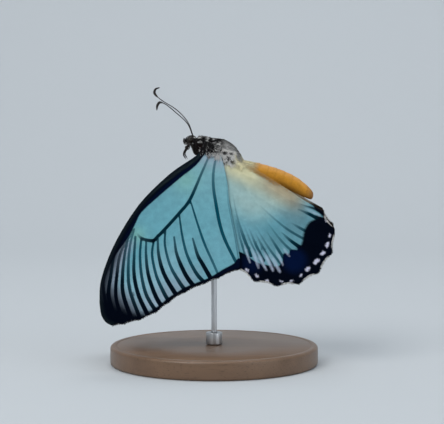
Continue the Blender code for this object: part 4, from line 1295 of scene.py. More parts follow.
def body_marks(points):
    """How pale, rusty, cream and amber the body is at each point, with the amber's painted highlight and
    shade.
    """
    x, y, z = points.T
    rear = ramp(x, *PALE_START) * (1.0 - BACK_LINE * hump(y, BACK_LINE_REACH) * ramp(z, *BACK_LINE_BOUNDS))
    pale = MOST_PALE * np.maximum(rear * (1.0 - dot_share(points, BLACK_DOTS)), dot_share(points, WHITE_DOTS))
    rust = RUST * hump(x - RUST_PLACE[0], RUST_REACHES[0]) * hump(z - RUST_PLACE[1], RUST_REACHES[1])
    # The amber's painted highlight lies along the top and its painted shade along the belly, with the ring
    # lines
    middle, _, high = skin_sizes(x)
    height = (z - middle) / high
    ring_line = RING_LINE * hump(ring_share(x) - RING_LINE_SHARE, RING_LINE_REACH) * ramp(x, *RING_LINE_START)
    return {
        "pale": pale, "rust": rust, "cream": ramp(x, *CREAM_START), "amber": ramp(x, *AMBER_START),
        "amber_highlight": ramp(height, *AMBER_HIGHLIGHT_BOUNDS),
        "amber_shade_and_rings": np.maximum(ramp(height, *AMBER_SHADE_BOUNDS), ring_line),
        "amber_tip": ramp(x, *AMBER_TIP_START),
    }


print("dots:", len(WHITE_DOTS), "white,", len(BLACK_DOTS), "black on each side")

# %% [markdown]
# ## Body materials
# The skin under the hair is dull and finely creased, and each hair is a little lighter or darker than the
# next. Both take their colour from the shared numbers. All locks of a coat are one mesh, in which a shader
# can't tell them apart, so the mesh carries a shade for each lock.

# %% Body materials
HAIR_PALE = (0.74, 0.73, 0.71, 1)
HAIR_RUST = (0.040, 0.012, 0.010, 1)
HAIR_CREAM = (0.80, 0.74, 0.48, 1)
AMBER = (0.60, 0.275, 0.026, 1)
# A painted highlight along the abdomen's top
AMBER_HIGHLIGHT = (0.66, 0.335, 0.085, 1)
# Painted shade along the abdomen's belly; the same tone also darkens random patches
AMBER_SHADE_AND_PATCHES = (0.38, 0.17, 0.02, 1)
AMBER_TIP = (0.28, 0.13, 0.042, 1)
PATCHY_SCALE, CREASE_SCALE, HAIR_SCALE = 1300.0, 4200.0, 9000.0
PATCHY_SPAN = (0.35, 0.75)
MOST_PATCHY = 0.22
CREASE_STRETCH = (0.35, 1, 1)
DARKEST_HAIR, LIGHTEST_HAIR = 0.5, 1.2


def body_colour(tree):
    colour = HAIR_BLACK
    for tone, key in ((HAIR_RUST, "rust"), (HAIR_PALE, "pale"), (HAIR_CREAM, "cream")):
        colour = lay_over(tree, colour, tone, field_value(tree, key))
    # The amber takes a painted highlight on top and painted shade below
    amber = AMBER
    for tone, key in ((AMBER_HIGHLIGHT, "amber_highlight"), (AMBER_SHADE_AND_PATCHES, "amber_shade_and_rings"), (AMBER_TIP, "amber_tip")):
        amber = lay_over(tree, amber, tone, field_value(tree, key))
    patchy = noise_between(tree, 0.0, MOST_PATCHY, PATCHY_SCALE, 3.0, PATCHY_SPAN)
    return lay_over(tree, colour, lay_over(tree, amber, AMBER_SHADE_AND_PATCHES, patchy), field_value(tree, "amber"))


SKIN, tree, shader = new_material("skin", 0.6, Specular_IOR_Level=0.2)
tree.links.new(body_colour(tree), shader.inputs["Base Color"])
add_bump(tree, shader, noise(tree, CREASE_SCALE, 3.0, CREASE_STRETCH), 0.4, 0.0001)

COAT, tree, shader = new_material("hair", 0.7, Specular_IOR_Level=0.12)
shade = ranged(tree, field_value(tree, "shade"), 0.0, 1.0, DARKEST_HAIR, LIGHTEST_HAIR)
tree.links.new(scaled(tree, body_colour(tree), shade), shader.inputs["Base Color"])
add_bump(tree, shader, noise(tree, HAIR_SCALE, 1.0), 0.3, 0.00005)
print("body materials:", SKIN.name, COAT.name)

# %% Body skin
SKIN_SIDES = 72
SKIN_STEP = 0.2
# The rings crowd together over the last stretch at each end, and a point closes it
END_STRETCH = 0.5
END_RINGS = 6
FACE_POINT_OUT, TAIL_POINT_OUT = 0.08, 0.06

face_end, tail_end = SKIN_STATIONS[0][0], SKIN_STATIONS[-1][0]
face_rings = face_end + END_STRETCH * np.linspace(0.0, 1.0, END_RINGS)[:-1] ** 2
tail_rings = tail_end - END_STRETCH * np.linspace(1.0, 0.0, END_RINGS) ** 2
even_rings = np.arange(face_end + END_STRETCH, tail_end - END_STRETCH, SKIN_STEP)
ring_x = np.concatenate([face_rings, even_rings, tail_rings])
turns = np.linspace(0.0, 2 * math.pi, SKIN_SIDES, endpoint=False)
rings = [skin_point(np.full(SKIN_SIDES, x), turns) for x in ring_x]
tips = [[face_end - FACE_POINT_OUT, 0.0, SKIN_STATIONS[0][1]],
        [tail_end + TAIL_POINT_OUT, 0.0, SKIN_STATIONS[-1][1]]]
skin_points = np.vstack(rings + [tips])
skin_faces = closed_rings(len(rings), SKIN_SIDES)
skin = mesh_of("body_skin", skin_points, skin_faces, body_marks(skin_points), (SKIN,))
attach(skin, "root")
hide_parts("head", "thorax", "abdomen")
print("skin faces:", len(skin_faces))

# %% [markdown]
# ## Planting tufts
# Hair, wing fringes and leg bristles all repeat one small piece over a surface or along a line. Blender's own
# hair would be lost when the model is exported. So a Geometry Nodes tree reads a turn and a size from each
# root point, puts the piece there and makes the copies real, each with its own small patch of the map.

# %% Planting tree
PLANT_INPUTS = (
    ("Roots", "Geometry"), ("Piece", "Object"), ("Size", "Float"), ("Size Spread", "Float"),
    ("Patch Size", "Float"), ("Material", "Material"),
)
PLANTING_SEED = 5


def planting_tree():
    tree = bpy.data.node_groups.new("plant_pieces", "GeometryNodeTree")
    for name, kind in PLANT_INPUTS:
        tree.interface.new_socket(name, in_out="INPUT", socket_type="NodeSocket" + kind)
    tree.interface.new_socket("Planted", in_out="OUTPUT", socket_type="NodeSocketGeometry")

    def node(kind, inputs=None, **settings):
        return add_node(tree, kind, inputs, **settings).outputs

    def stored(name):
        return node("GeometryNodeInputNamedAttribute", {"Name": name}, data_type="FLOAT_VECTOR")[0]

    source = node("NodeGroupInput")
    piece = node("GeometryNodeObjectInfo", {"Object": source["Piece"]})["Geometry"]
    low = math_node(tree, "SUBTRACT", 1.0, source["Size Spread"])
    high = math_node(tree, "ADD", 1.0, source["Size Spread"])
    random_inputs = {"Min": low, "Max": high, "Seed": PLANTING_SEED}
    vary = node("FunctionNodeRandomValue", random_inputs, data_type="FLOAT")[1]
    size = scaled(tree, stored("size"), math_node(tree, "MULTIPLY", source["Size"], vary))
    turned = node("FunctionNodeEulerToRotation", {0: stored("turn")})[0]
    copies = node("GeometryNodeInstanceOnPoints", {
        "Points": source["Roots"], "Instance": piece, "Rotation": turned, "Scale": size})[0]
    real = node("GeometryNodeRealizeInstances", {"Geometry": copies})[0]
    patch_place = scaled(tree, stored("patch"), source["Patch Size"])
    place = node("ShaderNodeVectorMath", {0: stored("root_map"), 1: patch_place}, operation="ADD")[0]
    mapped = node("GeometryNodeStoreNamedAttribute", {"Geometry": real, "Name": "OFBake", "Value": place},
                  data_type="FLOAT2", domain="CORNER")[0]
    done = node("GeometryNodeSetMaterial", {"Geometry": mapped, "Material": source["Material"]})[0]
    tree.links.new(done, add_node(tree, "NodeGroupOutput").inputs[0])
    return tree


PLANTING = planting_tree()
print("planting tree:", len(PLANTING.nodes), "nodes")

# %% Tufts
TUFT_FLATNESS = 0.35
TUFT_TIP = (1.0, 0.0, 0.0)
FLAT_PATCH = 1e-6


def piece_object(name, points, faces):
    """A small piece one unit long, with each point's place on its map patch."""
    mesh = bpy.data.meshes.new(name)
    mesh.from_pydata([tuple(p) for p in points], [], faces)
    place = np.array(points, dtype=float)
    place = (place - place.min(axis=0)) / np.maximum(np.ptp(place, axis=0), FLAT_PATCH)
    mesh.attributes.new("patch", "FLOAT_VECTOR", "POINT").data.foreach_set("vector", place.ravel())
    outward_faces(mesh)
    return add_object(name, mesh)


def tuft_piece(name, sides, rows, bend):
    """A flat, tapered lock one unit long that starts a little under the skin and droops at its tip."""
    points = []
    for t, half in rows:
        droop = bend * t * (1.0 - t)
        for angle in circle_turns(sides):
            points.append((t, half * math.cos(angle), TUFT_FLATNESS * half * math.sin(angle) + droop))
    points.append(TUFT_TIP)
    tip, last = len(points) - 1, (len(rows) - 1) * sides
    faces = [tuple(range(sides)), *ring_faces(len(rows), sides)]
    faces += [(last + i, last + (i + 1) % sides, tip) for i in range(sides)]
    return piece_object(name, points, faces)


TUFT = tuft_piece("tuft", 4, ((-0.12, 0.4), (0.3, 0.5), (0.7, 0.36)), 0.35)
BRISTLE = tuft_piece("bristle", 3, ((-0.05, 0.5), (0.6, 0.3)), 0.1)
print("tuft faces:", len(TUFT.data.polygons))

# %% Planting
PATCH_SIZE = 0.003


def turns_of(forward, outwards):
    """XYZ turns that point +X forward and +Z as near outwards as they can."""
    spin = np.array(POSE.to_3x3().normalized())
    forward = unit(forward @ spin.T)
    across = unit(np.cross(outwards @ spin.T, forward))
    up = np.cross(forward, across)
    roll = np.arctan2(across[:, 2], up[:, 2])
    pitch = -np.arcsin(np.clip(forward[:, 2], -1.0, 1.0))
    return np.stack([roll, pitch, np.arctan2(forward[:, 1], forward[:, 0])], axis=1)


def plant(name, piece, roots, forward, outwards, sizes, surface, numbers, root_map=None):
    """Copies of a piece at the roots, in body millimetres, as one plain mesh at the origin."""
    root_mesh = bpy.data.meshes.new(name + "_roots")
    root_mesh.from_pydata(to_world(roots).tolist(), [], [])
    vectors = {"turn": turns_of(forward, outwards), "size": sizes * MM,
               "root_map": np.zeros((len(roots), 3)) if root_map is None else root_map}
    for key, values in vectors.items():
        root_mesh.attributes.new(key, "FLOAT_VECTOR", "POINT").data.foreach_set("vector", values.ravel())
    store_numbers(root_mesh, numbers)
    holder = add_object(name + "_roots", root_mesh)
    modifier = holder.modifiers.new("plant", "NODES")
    modifier.node_group = PLANTING
    keys = {item.name: item.identifier for item in PLANTING.interface.items_tree if item.in_out == "INPUT"}
    # The sizes differ from root to root already, so the tree adds no spread of its own
    settings = {"Piece": piece, "Size": 1.0, "Size Spread": 0.0, "Patch Size": PATCH_SIZE,
                "Material": surface}
    for label, value in settings.items():
        modifier[keys[label]] = value
    view = bpy.context.evaluated_depsgraph_get()
    mesh = bpy.data.meshes.new_from_object(holder.evaluated_get(view))
    bpy.data.objects.remove(holder)
    mesh.name = name
    keep_inside(mesh)
    return add_object(name, mesh)


def lock_sizes(length, width, thickness):
    """The length, width and thickness of each lock."""
    return np.stack(np.broadcast_arrays(length, width, thickness), axis=1)


print("a lock's sizes:", lock_sizes(np.array([1.5]), 0.28, 0.28)[0])

# %% [markdown]
# ## Hair on the body
# The hair is short on the head, long and shaggy from the thorax to the waist, and a fine down between the
# abdomen's scales. Locks set ring by ring would show as rows. So the roots are scattered evenly over the
# skin, and each lock lies back along the body with a small lift of its own.

# %% Hair roots
EYE_CENTRE = (-10.6, 1.75, 1.0)
EYE_RADIUS = 1.55
EYE_CLEAR = 0.25
HAIR_SEED = 20
OVERSAMPLE = 3

dice = np.random.default_rng(HAIR_SEED)


def scattered(low, high, count):
    """Random skin places between two body places, spread evenly over the surface."""
    x = dice.uniform(low, high, count * OVERSAMPLE)
    turn = dice.uniform(0.0, 2 * math.pi, count * OVERSAMPLE)
    _, wide, high_half = skin_sizes(x)
    girth = (wide + high_half) / 2
    kept = dice.uniform(0.0, girth.max(), len(x)) < girth
    return x[kept][:count], turn[kept][:count]


def clear_of_eyes(root):
    """Which roots are outside both eyes."""
    clear = np.ones(len(root), dtype=bool)
    for side, _ in SIDES:
        eye = np.array(EYE_CENTRE) * (1, side, 1)
        clear &= np.linalg.norm(root - eye, axis=1) > EYE_RADIUS + EYE_CLEAR
    return clear


print("hair seed:", HAIR_SEED)

# %% Body hair
TILTS, LENGTHS, WIDTHS = (0.6, 1.4), (0.7, 1.25), (0.8, 1.2)
# A few black hairs stand among the pale ones, and pale ones among the black
BLACK_ODDS, BLACK_SHARE = 0.16, 0.2
PALE_ODDS, PALE_SHARE = 0.97, 0.6
# The body's part of the map: the body place where it starts, its length, and the share of it that is used
MAP_START, MAP_LENGTH, MAP_SHARE = -14.0, 60.0, 0.99


def coat_marks(root, shades):
    marks = body_marks(root)
    odd = dice.uniform(0.0, 1.0, len(root))
    pale = np.where(odd > PALE_ODDS, PALE_SHARE, marks["pale"])
    marks["pale"] = np.where(odd < BLACK_ODDS, BLACK_SHARE * marks["pale"], pale)
    marks["shade"] = dice.uniform(*shades, len(root))
    return marks


def coat(name, low, high, count, length, width, lift, spread=0.25, shades=(0.0, 1.0), fade=0.0):
    """Locks between two body places, thinned out over the last stretch, fade long, before the higher one."""
    x, turn = scattered(low, high, count)
    if fade:
        kept = dice.uniform(0.0, 1.0, len(x)) < ramp(x, high, high - fade)
        x, turn = x[kept], turn[kept]
    root, along, out = skin_frame(x, turn)
    clear = clear_of_eyes(root)
    x, turn, root, along, out = (v[clear] for v in (x, turn, root, along, out))
    tilt = lift * dice.uniform(*TILTS, len(x))[:, None]
    swirl = dice.normal(0.0, spread, len(x))[:, None]
    forward = along + tilt * out + swirl * np.cross(out, along)
    long = length * dice.uniform(*LENGTHS, len(x))
    wide = width * dice.uniform(*WIDTHS, len(x))
    marks = coat_marks(root, shades)
    root_map = np.stack([(x - MAP_START) / MAP_LENGTH, turn / (2 * math.pi), x * 0], axis=1) * MAP_SHARE
    made = plant(name, TUFT, root, forward, out, lock_sizes(long, wide, wide), COAT, marks, root_map)
    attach(made, "root")
    print(name, "has", len(root), "locks")


coat("hair_head", -12.6, -8.5, 1300, length=0.65, width=0.2, lift=0.36)
coat("hair_thorax", -8.4, 12.6, 8000, length=1.5, width=0.28, lift=0.3)
coat("hair_waist", 11.0, 21.0, 2800, length=1.5, width=0.17, lift=0.2, fade=8.0)
coat("down_abdomen", 14.0, 45.0, 6800, length=0.5, width=0.12, lift=0.02, spread=0.08, shades=(0.5, 0.9))

# %% [markdown]
# ## Eyes
# A butterfly's compound eye is a smooth dark dome with thousands of lenses too small to see one by one. A
# mesh of lenses would be lost at this size. A slightly tall ball with a low rim gives the dome, and a fine
# cell pattern in the bump gives the lenses.

# %% Eye material
EYE_DARK, EYE_LIGHT = (0.004, 0.003, 0.002, 1), (0.014, 0.009, 0.006, 1)
LENS_SCALE, EYE_CLOUD_SCALE = 9000.0, 900.0

EYE, tree, shader = new_material("eye", 0.3, Specular_IOR_Level=0.22, Coat_Weight=0.12, Coat_Roughness=0.06)
lens_inputs = {"Vector": object_place(tree), "Scale": LENS_SCALE}
lenses = add_node(tree, "ShaderNodeTexVoronoi", lens_inputs).outputs["Distance"]
tree.links.new(lay_over(tree, EYE_DARK, EYE_LIGHT, noise(tree, EYE_CLOUD_SCALE)), shader.inputs["Base Color"])
add_bump(tree, shader, lenses, 0.15, 0.00003)
print("eye material:", EYE.name)

# %% Eyes
EYE_RADII = (1.42, 1.42, 1.52)
EYE_SUNK = 0.05
EYE_ROWS, EYE_SIDES, EYE_RIM = 28, 40, 0.03
RIM_SHARPNESS = 12


def round_body(middle, radii, rim, rows, sides):
    """Points and faces of a closed ball with its poles along Y and a low rim round its middle."""
    points = []
    for r in range(1, rows):
        fall = math.pi * r / rows
        reach = math.sin(fall) * (1.0 + rim * math.sin(fall) ** RIM_SHARPNESS)
        for angle in circle_turns(sides):
            points.append((reach * math.cos(angle), -math.cos(fall), reach * math.sin(angle)))
    points += [(0.0, -1.0, 0.0), (0.0, 1.0, 0.0)]
    return np.array(points) * radii + middle, closed_rings(rows - 1, sides)


for side, hand in SIDES:
    eye_middle = (EYE_CENTRE[0], side * (EYE_CENTRE[1] - EYE_SUNK), EYE_CENTRE[2])
    eye_points, eye_faces = round_body(eye_middle, EYE_RADII, EYE_RIM, EYE_ROWS, EYE_SIDES)
    eye = mesh_of("eye_dome_" + hand, eye_points, eye_faces, {}, (EYE,))
    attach(eye, "root")
    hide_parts("eye_" + hand)
print("eye faces:", len(eye_faces))

# %% [markdown]
# ## Feelers, legs and tongue
# These are all thin tubes whose thickness changes with every joint. A bevelled curve would need a point for
# each side of each joint. Here one function makes a closed tube along a smooth line, and a ripple in its
# radius gives it its joints. Bristles and claws come on afterwards.

# %% Tubes
END_ROUND = 0.6
SIDE_HINT = (0.3, 1.0, 0.2)


def tube_parts(line, radii, sides, step, ripple=None):
    """Points and faces of a closed tube, its radii given at the line's own points."""
    given = np.array(line, dtype=float)
    centre = smooth_line(line)
    share = lengths_along(given) / lengths_along(given)[-1]
    along = lengths_along(centre)
    thick = np.interp(along / along[-1], share, radii)
    packed = spaced(np.column_stack([centre, thick]), step)
    centre, thick = packed[:, :3], packed[:, 3].copy()
    if ripple:
        thick *= ripple(lengths_along(centre))
    run = unit(np.gradient(centre, axis=0))
    side_way = np.cross(run[0], SIDE_HINT)
    points = []
    for place, way, radius in zip(centre, run, thick):
        side_way = side_way - way * (side_way @ way)
        side_way /= np.linalg.norm(side_way)
        other = np.cross(way, side_way)
        for angle in circle_turns(sides):
            points.append(place + radius * (math.cos(angle) * side_way + math.sin(angle) * other))
    points += [centre[0] - run[0] * thick[0] * END_ROUND, centre[-1] + run[-1] * thick[-1] * END_ROUND]
    return np.array(points), closed_rings(len(centre), sides)


def joined(parts):
    """One set of points and faces from several."""
    points, faces = [], []
    for part_points, part_faces in parts:
        start = sum(len(p) for p in points)
        points.append(part_points)
        faces += [tuple(i + start for i in face) for face in part_faces]
    return np.vstack(points), faces


def mirrored(line, side):
    return [(x, side * y, z) for x, y, z in line]


def even_joints(length, depth):
    """A ripple that gives a tube even joints."""
    return lambda along: 1.0 + depth * np.cos(2 * math.pi * along / length)


def random_outwards(way):
    """A random unit vector at right angles to each way."""
    out = dice.normal(0.0, 1.0, way.shape)
    return unit(out - way * np.sum(out * way, axis=1)[:, None])


print("tube helpers ready")

# %% Horn
HORN_DARK, HORN_LIGHT = (0.006, 0.005, 0.005, 1), (0.020, 0.014, 0.011, 1)
HORN_CLOUD_SCALE, HORN_BUMP_SCALE = 1500.0, 6000.0

HORN, tree, shader = new_material("horn", 0.45, Specular_IOR_Level=0.22)
horn_colour = lay_over(tree, HORN_DARK, HORN_LIGHT, noise(tree, HORN_CLOUD_SCALE, 3.0))
tree.links.new(horn_colour, shader.inputs["Base Color"])
add_bump(tree, shader, noise(tree, HORN_BUMP_SCALE), 0.35, 0.00005)
print("tube material:", HORN.name)

# %% Antennae
ANTENNA_LINES = {
    "left": ((-9.7, 0.8, 2.5), (-13.5, 2.2, 7.5), (-19.2, 5.6, 10.8), (-23.6, 8.0, 12.9), (-26.2, 9.3, 13.2),
             (-26.9, 9.7, 11.6), (-26.6, 9.9, 9.7)),
    "right": ((-9.7, 0.8, 2.5), (-13.7, 2.2, 7.9), (-19.8, 5.6, 11.6), (-27.2, 8.6, 13.8), (-30.9, 9.8, 15.6),
              (-31.3, 10.2, 17.6), (-29.8, 10.3, 18.8)),
}
ANTENNA_STEP = 0.4
SHAFT_RADIUS = 0.2
CLUB_RADIUS = 0.55
CLUB_SHARE = 0.19
CLUB_SWELL = 0.8
CLUB_TIP_RADIUS = 0.16
ANTENNA_JOINTS = even_joints(0.52, 0.08)
SOCKET_BALL = (0.42, 0.42, 0.42)

for side, hand in SIDES:
    path = spaced(smooth_line(mirrored(ANTENNA_LINES[hand], side)), ANTENNA_STEP)
    share = np.linspace(0.0, 1.0, len(path))
    club = np.clip((share - (1.0 - CLUB_SHARE)) / CLUB_SHARE, 0.0, 1.0)
    thick = SHAFT_RADIUS + (CLUB_RADIUS - SHAFT_RADIUS) * np.sin(math.pi * club**CLUB_SWELL)
    thick[-1] = CLUB_TIP_RADIUS
    shaft = tube_parts(path, thick, 12, 0.07, ANTENNA_JOINTS)
    points, faces = joined([shaft, round_body(path[1], SOCKET_BALL, 0.05, 12, 16)])
    antenna = mesh_of("antenna_fine_" + hand, points, faces, {}, (HORN,))
    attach(antenna, "root")
    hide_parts("antenna_" + hand)
print("antenna faces:", len(faces))

# %% Palps
PALP_LINE = ((-11.4, 1.1, -0.7), (-12.3, 1.15, -0.9), (-12.9, 1.1, -0.1), (-13.1, 1.0, 0.8))
PALP_RADII = (0.36, 0.42, 0.32, 0.12)
PALP_STEP, PALP_HAIR_STEP = 0.12, 0.05
PALP_HAIRS = 260
PALP_HAIR_OUT, PALP_HAIR_LIFT = 0.28, 0.7
PALP_HAIR_LENGTHS, PALP_HAIR_WIDTH = (0.4, 0.7), 0.17
# A quarter of the hairs are pale
PALP_PALE_ODDS, PALP_PALE = 0.25, 0.7
PALP_MAP_START, PALP_MAP_LENGTH = 0.05, 0.1

for side, hand in SIDES:
    points, faces = tube_parts(mirrored(PALP_LINE, side), PALP_RADII, 12, PALP_STEP)
    palp = mesh_of("palp_core_" + hand, points, faces, {}, (HORN,))
    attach(palp, "root")
    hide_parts("palp_" + hand)
    line = spaced(smooth_line(mirrored(PALP_LINE, side)), PALP_HAIR_STEP)
    pick = dice.integers(0, len(line) - 2, PALP_HAIRS)
    way = unit(np.gradient(line, axis=0)[pick])
    out = random_outwards(way)
    marks = {"pale": PALP_PALE * (dice.uniform(0, 1, PALP_HAIRS) < PALP_PALE_ODDS),
             "shade": dice.uniform(0, 1, PALP_HAIRS)}
    sizes = lock_sizes(dice.uniform(*PALP_HAIR_LENGTHS, PALP_HAIRS), PALP_HAIR_WIDTH, PALP_HAIR_WIDTH)
    map_along = PALP_MAP_START + pick / len(line) * PALP_MAP_LENGTH
    hair_map = np.stack([map_along, dice.uniform(0.0, MAP_SHARE, PALP_HAIRS), pick * 0.0], axis=1)
    palp_hair = plant("hair_palp_" + hand, TUFT, line[pick] + out * PALP_HAIR_OUT,
                      way + out * PALP_HAIR_LIFT, out, sizes, COAT, marks, hair_map)
    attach(palp_hair, "root")
print("palp hair faces:", len(palp_hair.data.polygons))

# %% Tongue
TONGUE_CENTRE = (-11.2, -2.3)
TONGUE_COIL = 1.2
TONGUE_PITCH = 0.68
TONGUE_TURNS = 1.4
TONGUE_POINTS = 40
TONGUE_RADII = (0.24, 0.13)
TONGUE_JOINTS = even_joints(0.18, 0.06)

coil_turn = np.linspace(0.0, 2 * math.pi * TONGUE_TURNS, TONGUE_POINTS)
coil = TONGUE_COIL - TONGUE_PITCH * coil_turn / (2 * math.pi)
coil_line = np.stack([TONGUE_CENTRE[0] + coil * np.sin(coil_turn), coil_turn * 0,
                      TONGUE_CENTRE[1] + coil * np.cos(coil_turn)], axis=1)
coil_radii = np.interp(coil_turn, (0.0, coil_turn[-1]), TONGUE_RADII)
points, faces = tube_parts(coil_line, coil_radii, 12, 0.05, TONGUE_JOINTS)
tongue = mesh_of("proboscis_fine", points, faces, {}, (HORN,))
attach(tongue, "root")
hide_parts("proboscis")
print("tongue faces:", len(faces))

# %% Leg shapes
LEG_LINES = {
    "fore": ((-5.8, 1.9, -3.0), (-7.0, 3.0, -3.7), (-10.1, 3.95, -0.4), (-11.5, 4.1, -3.9),
             (-11.5, 3.95, -5.6), (-10.4, 3.8, -6.7)),
    "mid": ((-1.0, 2.0, -5.2), (-1.6, 3.4, -7.0), (3.6, 5.6, -9.6), (8.0, 5.4, -12.6), (13.0, 4.8, -13.8),
            (15.4, 4.6, -13.6)),
    "hind": ((5.2, 1.8, -5.2), (5.4, 3.0, -7.0), (11.4, 4.9, -8.4), (17.6, 4.6, -10.8), (23.4, 4.0, -11.8),
             (26.0, 3.9, -11.6)),
}
LEG_RADII = (0.6, 0.58, 0.42, 0.32, 0.25, 0.2)
LEG_STEP = 0.12
# The foot starts at this share of the leg, over a short stretch, and its joints are this long and deep
FOOT_START, FOOT_FADE = 0.72, 0.03
FOOT_JOINT, FOOT_JOINT_DEPTH = 0.95, 0.16
# A claw's path from the tip, as how far on, how far aside and how far down
CLAW_PATH = ((0.0, 0.0, 0.0), (0.35, 0.16, 0.0), (0.55, 0.22, 0.22))
CLAW_RADII = (0.09, 0.07, 0.025)


def leg_ripple(along):
    foot = np.clip((along / along[-1] - FOOT_START) / FOOT_FADE, 0.0, 1.0)
    return 1.0 + FOOT_JOINT_DEPTH * foot * np.cos(2 * math.pi * (along[-1] - along) / FOOT_JOINT + math.pi)


def claw(tip, way, aside):
    hook = [tip + way * on + aside * wide - np.array([0.0, 0.0, down]) for on, wide, down in CLAW_PATH]
    return tube_parts(hook, CLAW_RADII, 6, 0.1)


print("leg points:", {pair: len(line) for pair, line in LEG_LINES.items()})

# %% Legs
LEG_HAIR_STEP = 0.2
LEG_BRISTLES = 170
BRISTLE_LENGTHS, BRISTLE_WIDTH = (0.35, 0.7), 0.09
BRISTLE_OUT, BRISTLE_LIFT = 0.85, 0.6

for side, hand in SIDES:
    for pair, line in LEG_LINES.items():
        line = mirrored(line, side)
        centre = spaced(smooth_line(line), LEG_HAIR_STEP)
        way = unit(np.gradient(centre, axis=0))
        aside = np.cross(way[-1], (0.0, 0.0, 1.0))
        claws = [claw(centre[-1], way[-1], aside), claw(centre[-1], way[-1], -aside)]
        points, faces = joined([tube_parts(line, LEG_RADII, 12, LEG_STEP, leg_ripple), *claws])
        leg = mesh_of(f"leg_fine_{pair}_{hand}", points, faces, {}, (HORN,))
        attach(leg, "root")
        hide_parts(f"leg_{pair}_{hand}")
        pick = dice.integers(3, len(centre) - 2, LEG_BRISTLES)
        out = random_outwards(way[pick])
        thick = np.interp(pick / len(centre), np.linspace(0.0, 1.0, len(LEG_RADII)), LEG_RADII)
        roots = centre[pick] + out * (thick * BRISTLE_OUT)[:, None]
        sizes = lock_sizes(dice.uniform(*BRISTLE_LENGTHS, LEG_BRISTLES), BRISTLE_WIDTH, BRISTLE_WIDTH)
        bristles = plant(f"bristles_{pair}_{hand}", BRISTLE, roots, way[pick] + out * BRISTLE_LIFT, out,
                         sizes, HORN, {})
        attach(bristles, "root")
print("leg faces:", len(faces))

# %% [markdown]
# ## Hair and fringes on the wings
# Hair runs from the thorax over the wing roots and hides the joint, and cream wool lines the hindwing's inner
# edge. Along the margins a fringe of short scales is black, with white in the bays of the hindwing. All of it
# stands on the flat wing's plan and is folded with the wing, so it follows the same curves.

# %% Hair on a wing
MARK_KEYS = ("pale", "rust", "cream", "amber", "amber_highlight", "amber_shade_and_rings", "amber_tip")
WING_HAIR_LIFTS = (0.08, 0.3)
WING_HAIR_SHADES = (0.45, 1.0)
WING_HAIR_CLEAR = 0.02
WING_MAP_LOW, WING_MAP_HIGH = (-30.0, -2.0), (60.0, 85.0)


def wing_frame(flat, lift, side):
    """Folded points with the way outwards along the span and the way off the upper face."""
    mirror = np.array([1.0, side, 1.0])
    point = fold(flat, lift)
    span = (fold(flat + (0.0, SMALL_STEP), lift) - point) / SMALL_STEP
    off = fold(flat, lift + 1.0) - point
    return point * mirror, span * mirror, off * mirror


def wing_map(flat):
    """Each root's place on the map, from its place on the flat wing."""
    share = (flat - WING_MAP_LOW) / (np.array(WING_MAP_HIGH) - WING_MAP_LOW)
    return np.column_stack([share * MAP_SHARE, np.zeros(len(flat))])


def all_marks(count, given):
    """The given marks, and 0 for each other one."""
    return {**{key: np.zeros(count) for key in MARK_KEYS}, **given}


def wing_hair(name, flat, lift, side, face, length, width, way, marks, spin_spread=0.3):
    """Locks on one face of a wing, their way a mix of the span and the way back."""
    point, span, off = wing_frame(flat, lift, side)
    off = off * face
    spin = dice.normal(0.0, spin_spread, len(flat))[:, None]
    back_way = np.array([1.0, 0.0, 0.0]) * (way[1] - spin)
    forward = span * (way[0] + spin) + back_way + off * dice.uniform(*WING_HAIR_LIFTS, len(flat))[:, None]
    sizes = lock_sizes(length * dice.uniform(*LENGTHS, len(flat)), width, width)
    marks = all_marks(len(flat), {**marks, "shade": dice.uniform(*WING_HAIR_SHADES, len(flat))})
    root = point + off * (MEMBRANE_HALF + WING_HAIR_CLEAR)
    made = plant(name, TUFT, root, forward, off, sizes, COAT, marks, wing_map(flat))
    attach(made, "root")


def flat_places(outline, low, high, count, keep):
    """Random places on a flat wing between two corners, thinned out by a chance to keep each."""
    places = np.stack([dice.uniform(low[0], high[0], count), dice.uniform(low[1], high[1], count)], axis=1)
    places = places[inside(places, outline)]
    return places[dice.uniform(0.0, 1.0, len(places)) < keep(places)]


print("marks:", MARK_KEYS)

# %% Wing root hair and wool
# Dark clumps in the pale hair on the hindwing's root, as (x, s, radius)
ROOT_DARK = np.array([(4.6, 1.6, 0.9), (6.8, 3.6, 0.85), (8.8, 4.6, 0.75), (11.0, 5.6, 0.6), (4.0, 4.6, 0.7),
                      (7.2, 0.9, 0.7), (6.0, 5.6, 0.55), (9.6, 2.2, 0.5), (3.7, 6.4, 0.5)])
DARK_PALE, LIGHT_PALE = 0.05, 0.92
FORE_PALE = 0.75
WOOL_REACH = 0.9
WOOL_CREAM = 0.84


def fore_chance(places):
    return ramp(hinge_reach(places), 6.2, 2.4)


def hind_chance(places):
    return ramp(hinge_reach(places), 7.4, 3.4)


def wool_chance(places):
    return hump(edge_distance(places, HIND_INNER), WOOL_REACH) * ramp(places[:, 0], 35.0, 16.0)


def fore_root_marks(places):
    """Black hair in front, with more and more pale hair towards the rear."""
    x, s = places.T
    chance = 0.04 + 0.6 * ramp(x, -0.8, 3.2) + 0.5 * ramp(s, 2.8, 4.6) * ramp(x, -3.2, -0.6)
    return {"pale": FORE_PALE * (dice.uniform(0, 1, len(places)) < chance)}


def hind_root_marks(places):
    """Pale hair with dark clumps, cream towards the rear."""
    apart = np.linalg.norm(places[:, None] - ROOT_DARK[None, :, :2], axis=2)
    in_dark = np.min(apart / ROOT_DARK[:, 2], axis=1) < 1.0
    return {"pale": np.where(in_dark, DARK_PALE, LIGHT_PALE), "cream": ramp(places[:, 0], 8.0, 12.0)}


def wool_marks(places):
    """Cream wool by the waist, with painted shade in ochre beside the abdomen, where its shadow falls."""
    return {"cream": np.full(len(places), WOOL_CREAM), "amber": 0.85 * ramp(places[:, 0], 13.0, 21.0),
            "amber_shade_and_rings": np.full(len(places), 0.6)}


